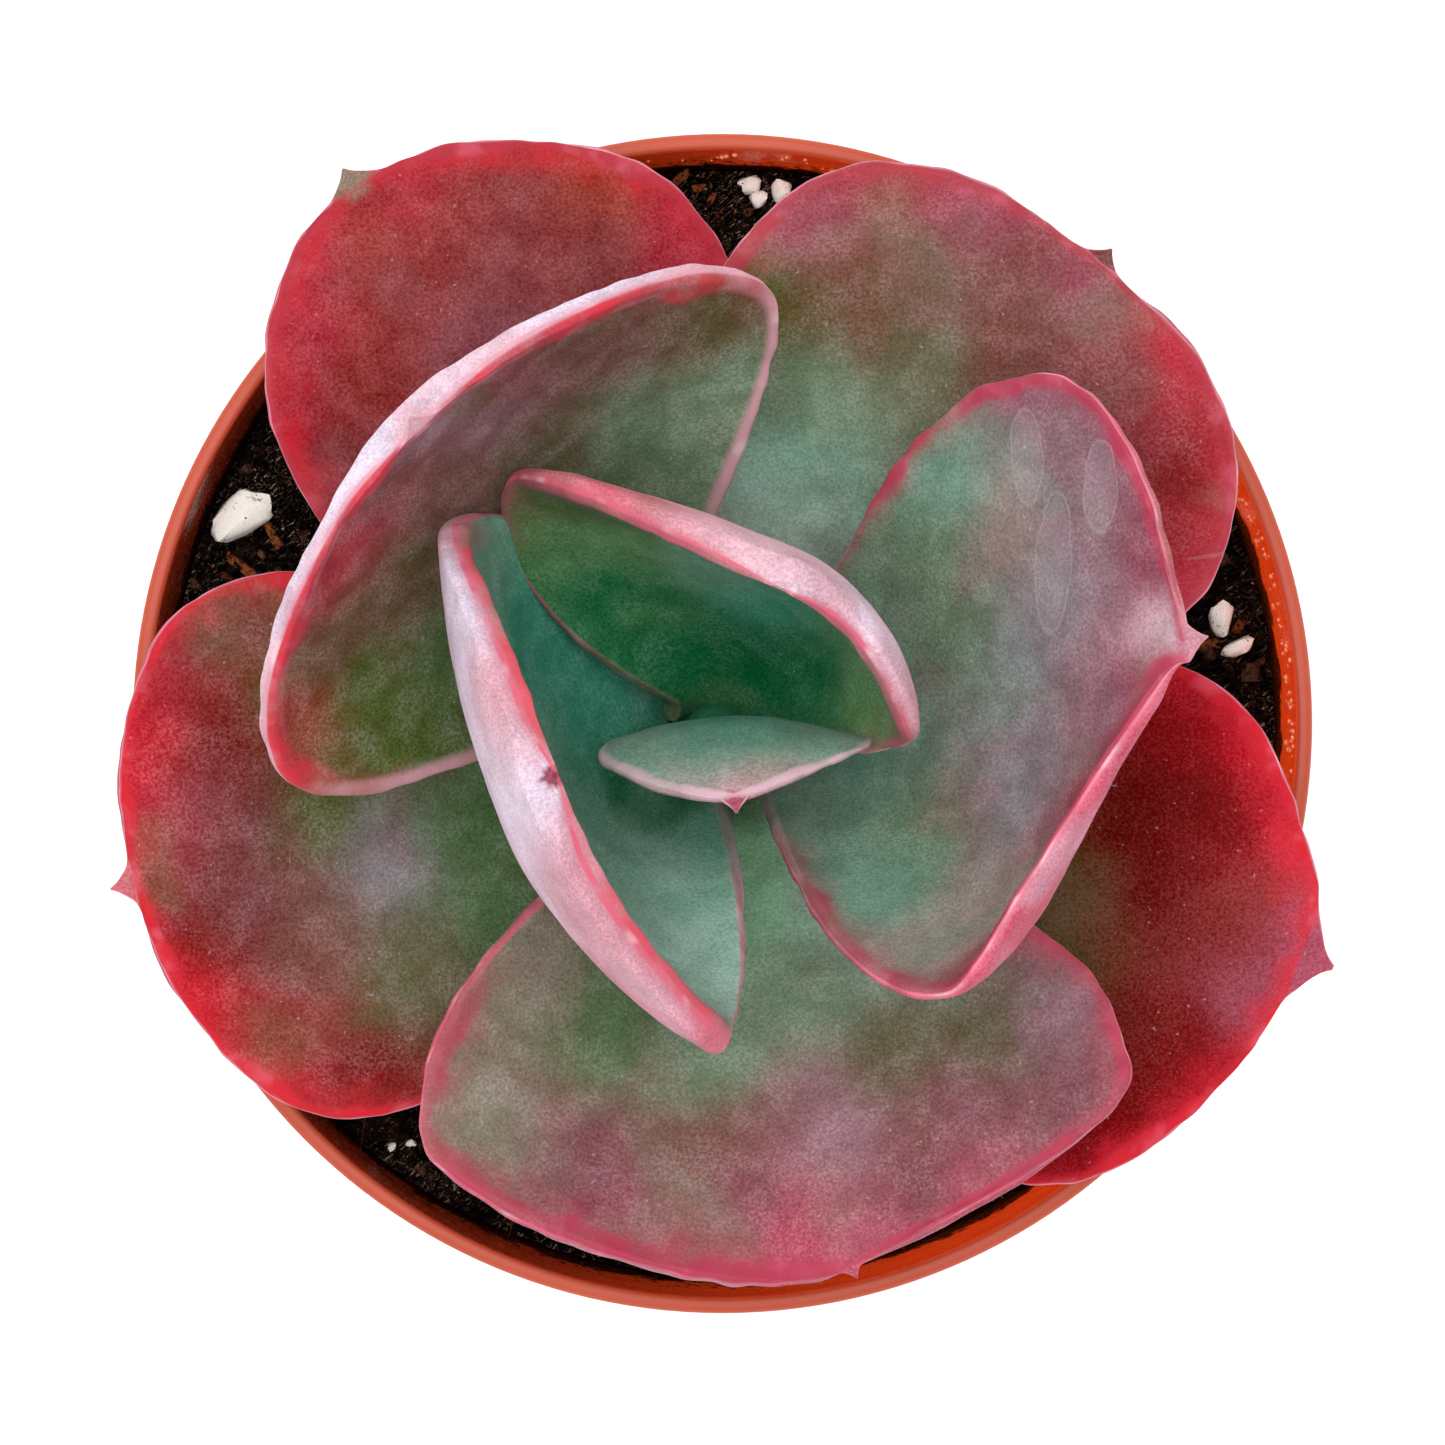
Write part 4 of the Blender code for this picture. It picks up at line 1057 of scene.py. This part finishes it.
grow("leaf_05", Leaf(
    azimuth=-83, height=96.4, length=43.6, left=28.0, right=30.8, rise=(30, 22, 12), cup=(10, 32),
    line="berry", line_width=1.0, line_from=(0.3, 0.3), band=("berry", 3.0, 0.6), rim="pink",
    mottle=("umber", "sage"), dust=0.45, blotch=0.1, swing=20, widest=(0.67, 0.6), blunt=(7.0, 1.15),
    point=(0.38, 0.74), edge=1.3, spike=1.0, spike_width=0.9, wave=(0.5, 1.5, 0.8),
    face=(
        ("straw", 0.3, -0.83), ("fern", 0.42, -0.47), ("sage", 0.53, -0.2), ("sage", 0.44, 0.17),
        ("leek", 0.2, 0.07), ("olive", 0.63, 0.37), ("olive", 0.65, 0.63), ("orchid", 0.67, 0.87),
        ("plum", 0.88, 0.8), ("dusk", 0.9, 0.27), ("plum", 0.8, -0.27), ("berry", 0.93, -0.3),
        ("mauve", 0.86, -0.55), ("berry", 0.9, -0.75), ("plum", 0.68, -0.63), ("straw", 0.55, -0.83),
        ("rose", 0.98, 0.07), ("mauve", 0.83, -0.85), ("rose", 0.95, -0.5), ("rose", 0.95, 0.5),
        ("orchid", 0.75, 0.1), ("plum", 0.78, 0.5), ("umber", 0.7, -0.3), ("mist", 0.33, 0.5),
        ("fern", 0.0, 0.0),
    ),
), 5)

# Leaf 06 stands half up at the back left and shows the pale edge of its outer face.
grow("leaf_06", Leaf(
    azimuth=134, height=99.2, length=50.3, left=28.0, right=28.5, rise=(38, 48, 80), cup=(14, 14),
    line="poppy", line_width=1.5, line_from=(0.35, 0.55), band=("berry", 2.5, 0.35), rim="petal",
    rim_width=1.6, tip="blush", mottle=("umber", "moss"), blotch=0.12, widest=(0.56, 0.6),
    blunt=(1.35, 1.4), point=(0.5, 0.5), flank=(1.65, 2.3), core=(4.0, 2.8), edge=1.7,
    wave=(0.4, 2.0, 0.3),
    face=(
        ("bronze", 0.65, -0.8), ("umber", 0.78, -0.63), ("russet", 0.88, -0.37), ("sage", 0.5, -0.5),
        ("sage", 0.42, -0.8), ("russet", 0.88, 0.3), ("crimson", 0.87, 0.75), ("bronze", 0.68, 0.7),
        ("sienna", 0.65, 0.93), ("moss", 0.42, 0.77), ("fern", 0.45, 0.35), ("orchid", 0.96, 0.0),
        ("umber", 0.75, 0.0), ("orchid", 0.8, -0.15), ("olive", 0.6, -0.2), ("bronze", 0.6, 0.35),
        ("moss", 0.55, 0.65), ("fern", 0.25, 0.0),
    ),
    back=(
        ("sage", 0.1, 0.0), ("orchid", 0.4, 0.0), ("blush", 0.35, 0.8), ("petal", 0.4, -0.9),
        ("lilac", 0.7, 0.3), ("blush", 0.7, -0.3), ("blush", 0.75, 0.9), ("petal", 0.68, -0.97),
        ("lilac", 0.9, 0.0), ("lilac", 0.95, 0.5), ("blush", 0.97, -0.5), ("lilac", 0.88, -0.95),
        ("lilac", 0.86, 0.97), ("petal", 0.65, 0.97),
    ),
), 6)

# Leaf 07 leans to the right. Drops have dried on it and left pale rims in its bloom.
grow("leaf_07", Leaf(
    azimuth=11.5, height=101.8, length=44.7, left=23.6, right=31.2, rise=(45, 46, 38), cup=(0, 75),
    line="berry", line_from=(0.2, 0.15), band=("berry", 2.2, 0.55), tip="petal", mottle=("mauve", "sea"),
    dust=0.35, blotch=0.1, tone=0.91, nicks=((1, 0.56, 0.6, 1.2),),
    stains=((33.0, 17.0, 3.2, 7.8, -12), (39.6, 13.3, 3.4, 7.4, -16), (33.6, 8.2, 3.6, 11.0, -18)),
    widest=(0.7, 0.66), blunt=(3.4, 1.2), point=(0.46, 1.6), flank=(1.6, 1.0), core=(4.0, 2.0), edge=1.2,
    wave=(0.4, 1.6, 0.5),
    face=(
        ("orchid", 0.73, 0.9), ("orchid", 0.88, 0.72), ("mauve", 0.97, 0.5), ("clay", 0.68, 0.57),
        ("orchid", 0.76, 0.6), ("sage", 0.49, 0.57), ("pewter", 0.77, 0.27), ("sage", 0.5, 0.23),
        ("orchid", 0.8, -0.2), ("pewter", 0.6, -0.3), ("sage", 0.39, -0.5), ("sea", 0.35, -0.73),
        ("clay", 0.52, -0.83), ("rose", 0.78, -0.8), ("cherry", 0.83, -0.96), ("berry", 0.7, -0.98),
        ("blush", 0.96, 0.05), ("sea", 0.25, 0.0), ("orchid", 0.86, 0.35), ("mauve", 0.9, -0.35),
        ("clay", 0.66, -0.6), ("sea", 0.55, 0.75), ("pewter", 0.65, 0.05),
    ),
    back=(
        ("sage", 0.1, 0.0), ("clay", 0.4, 0.0), ("rose", 0.35, -0.9), ("rose", 0.4, 0.9),
        ("orchid", 0.7, 0.3), ("rose", 0.7, -0.4), ("pink", 0.6, -0.95), ("pink", 0.8, -0.9),
        ("pink", 0.7, 0.97), ("pink", 0.9, 0.9), ("salmon", 0.97, 0.6), ("pink", 0.9, -0.6),
        ("pink", 0.97, 0.2),
    ),
), 7)

# The young leaves close the rosette. Leaf 08 stands upright on the left, its outer face white with bloom.
grow("leaf_08", Leaf(
    azimuth=199.5, height=105.0, length=42.5, left=26.2, right=22.0, rise=(46, 79, 114), cup=(40, 14),
    line="coral", line_width=1.6, line_from=(0.55, 0.5), band=("orchid", 4.0, 0.6), rim="pink",
    tip="mauve", mottle=("mist", "jade"), dust=0.45, tone=0.96, reach=4.9, offset=-1.4,
    widest=(0.62, 0.5), blunt=(1.75, 2.2), base=6.6, flank=(0.9, 1.0), channel=48, core=(3.6, 3.0),
    edge=2.6, spike=0.6, spike_width=0.4, wave=(0.3, 1.8, 0.1),
    face=(
        ("jade", 0.29, -0.7), ("jade", 0.12, -0.4), ("deep", 0.12, 0.25), ("mist", 0.24, 0.73),
        ("mist", 0.37, 0.92), ("sea", 0.14, 0.9), ("sea", 0.53, -0.83), ("jade", 0.4, -0.6),
        ("sea", 0.65, -0.5), ("sea", 0.6, 0.2), ("blush", 0.96, 0.2), ("mist", 0.9, -0.4),
        ("blush", 0.93, 0.4), ("orchid", 0.87, 0.78), ("mist", 0.6, 0.55), ("orchid", 0.76, 0.82),
        ("sea", 0.35, 0.4), ("blush", 0.9, 0.8),
    ),
    back=(
        # The dark green at the base of the outer face is painted shade, in the gap at the rosette's centre.
        ("deep", 0.0, 0.0), ("sage", 0.2, 0.0), ("lilac", 0.4, 0.0), ("lilac", 0.4, -0.9),
        ("blush", 0.4, 0.9), ("lilac", 0.65, -0.15), ("blush", 0.6, 0.2), ("petal", 0.57, 0.6),
        ("petal", 0.6, 0.97), ("lilac", 0.82, -0.9), ("petal", 0.97, -0.85), ("blush", 0.97, -0.4),
        ("lilac", 0.9, 0.0), ("lilac", 0.98, 0.25), ("petal", 0.97, 0.75), ("petal", 0.9, 0.97),
        ("pink", 0.7, 0.97), ("petal", 0.58, -0.97),
    ),
), 8)

grow("leaf_09", Leaf(
    azimuth=67, height=108.2, length=36.5, left=23.5, right=16.6, rise=(46, 75, 104), cup=(3, 58),
    line="rose", line_from=(0.35, 0.3), band=("russet", 3.0, 0.6), rim="pink", tip="blush",
    mottle=("grass", "deep"), dust=0.3, tone=1.06, reach=3.0, widest=(0.5, 0.6), blunt=(2.0, 2.1),
    point=(0.45, 0.68), base=4.8, flank=(1.0, 1.3), channel=68, core=(3.4, 2.5), edge=1.5, spike=1.0,
    spike_width=0.9, wave=(0.3, 1.5, 0.2),
    face=(
        ("moss", 0.62, 0.85), ("grass", 0.5, 0.57), ("sea", 0.58, 0.25), ("jade", 0.45, 0.0),
        ("deep", 0.19, 0.37), ("deep", 0.35, -0.33), ("grass", 0.45, -0.77), ("deep", 0.29, 0.57),
        ("grass", 0.45, -0.97), ("umber", 0.75, 0.85), ("sea", 0.72, 0.1), ("grass", 0.65, -0.4),
        ("clay", 0.88, 0.0), ("rose", 0.9, 0.7), ("orchid", 0.9, -0.5), ("deep", 0.1, 0.0),
        ("grass", 0.7, 0.5),
    ),
    back=(
        # The dark green at the base of the outer face is painted shade, in the gap at the rosette's centre.
        ("deep", 0.0, 0.0), ("sage", 0.2, 0.0), ("orchid", 0.4, 0.0), ("crimson", 0.62, 0.97),
        ("blush", 0.4, -0.8), ("salmon", 0.79, 0.97), ("pink", 0.88, 0.97), ("salmon", 0.93, 0.9),
        ("petal", 0.97, 0.97), ("blush", 0.99, 0.6), ("blush", 1.0, 0.0), ("petal", 0.97, -0.77),
        ("petal", 0.9, -0.97), ("blush", 0.8, 0.0), ("petal", 0.75, -0.97), ("orchid", 0.95, -0.35),
        ("lilac", 0.9, -0.65),
    ),
), 9)

grow("leaf_10", Leaf(
    azimuth=-91.5, height=111.2, length=23.5, left=11.6, right=10.6, rise=(95, 92, 52), cup=(5, 5),
    line="blush", line_width=0.45, rim="blush", mottle=("sage", "jade"), dust=0.2, tone=1.04, reach=0.8,
    offset=1.0, swing=9, widest=(0.66, 0.66), blunt=(1.6, 1.6), point=(0.8, 0.8), base=2.9,
    flank=(1.6, 1.6), channel=0, belly=2.2, core=(3.2, 2.4), edge=0.9, spike=1.5, spike_width=1.2,
    face=(
        ("sea", 0.83, -0.87), ("jade", 0.78, -0.2), ("jade", 0.75, 0.23), ("sea", 0.82, 0.77),
        ("clay", 0.92, -0.37), ("petal", 0.97, 0.4), ("clay", 0.88, 0.93), ("petal", 0.99, 0.0),
        ("petal", 0.97, -0.5), ("jade", 0.5, 0.0), ("deep", 0.2, 0.0), ("sage", 0.9, 0.3),
        ("jade", 0.86, -0.1),
    ),
    back=(
        # The dark green at the base of the outer face is painted shade, in the gap at the rosette's centre.
        ("deep", 0.1, 0.0), ("sea", 0.5, 0.0), ("clay", 0.8, 0.5), ("clay", 0.8, -0.5),
        ("petal", 0.95, 0.0),
    ),
), 10)

# Stage: a pale floor, one large soft light over the plant and an even white room, and the camera
# straight above the pot.


CAMERA_PLACE = (0.0, 0.00009, 0.608)  # in metres, a hair off the pot's axis, as the photograph's was


def floor_finish():
    """Matt white paper, bright enough to lose itself in the white room."""
    white = (1.0, 1.0, 1.0, 1.0)
    material = finish(
        "floor_paper", Roughness=0.9, Specular_IOR_Level=0.1, Emission_Color=white, Emission_Strength=0.22,
    )
    tree = material.node_tree
    fibres = ramp(tree, grain(tree, own_place(tree), 40.0), 0.3, 0.7)
    connect(material, Base_Color=mix(tree, fibres, colour("fbfbfb"), colour("f7f7f7")))
    return material


clear_selection()
bpy.ops.mesh.primitive_plane_add(size=4.0)
floor = bpy.context.object
floor.name = "floor"
floor.data.materials.append(floor_finish())

world = bpy.data.worlds.new("room")
bpy.context.scene.world = world
world.use_nodes = True
sky = world.node_tree.nodes["Background"].inputs
sky["Color"].default_value = (1.0, 1.0, 1.0, 1.0)
sky["Strength"].default_value = 0.85


lamp = bpy.data.lights.new("softbox", "AREA")
lamp.shape = "DISK"
lamp.size = 0.9
lamp.energy = 8.0
softbox = bpy.data.objects.new("softbox", lamp)
softbox.location = (-0.08, 0.10, 1.1)
to_plant = Vector((0, 0, 0.09)) - softbox.location
softbox.rotation_euler = to_plant.to_track_quat("-Z", "Y").to_euler()
bpy.context.scene.collection.objects.link(softbox)

camera = bpy.data.objects.new("camera", bpy.data.cameras.new("camera"))
camera.location = CAMERA_PLACE
camera.data.sensor_width = 36.0
camera.data.lens = 150.0
camera.data.clip_start = 0.01
bpy.context.scene.collection.objects.link(camera)
bpy.context.scene.camera = camera
bpy.context.scene.view_settings.view_transform = "Standard"
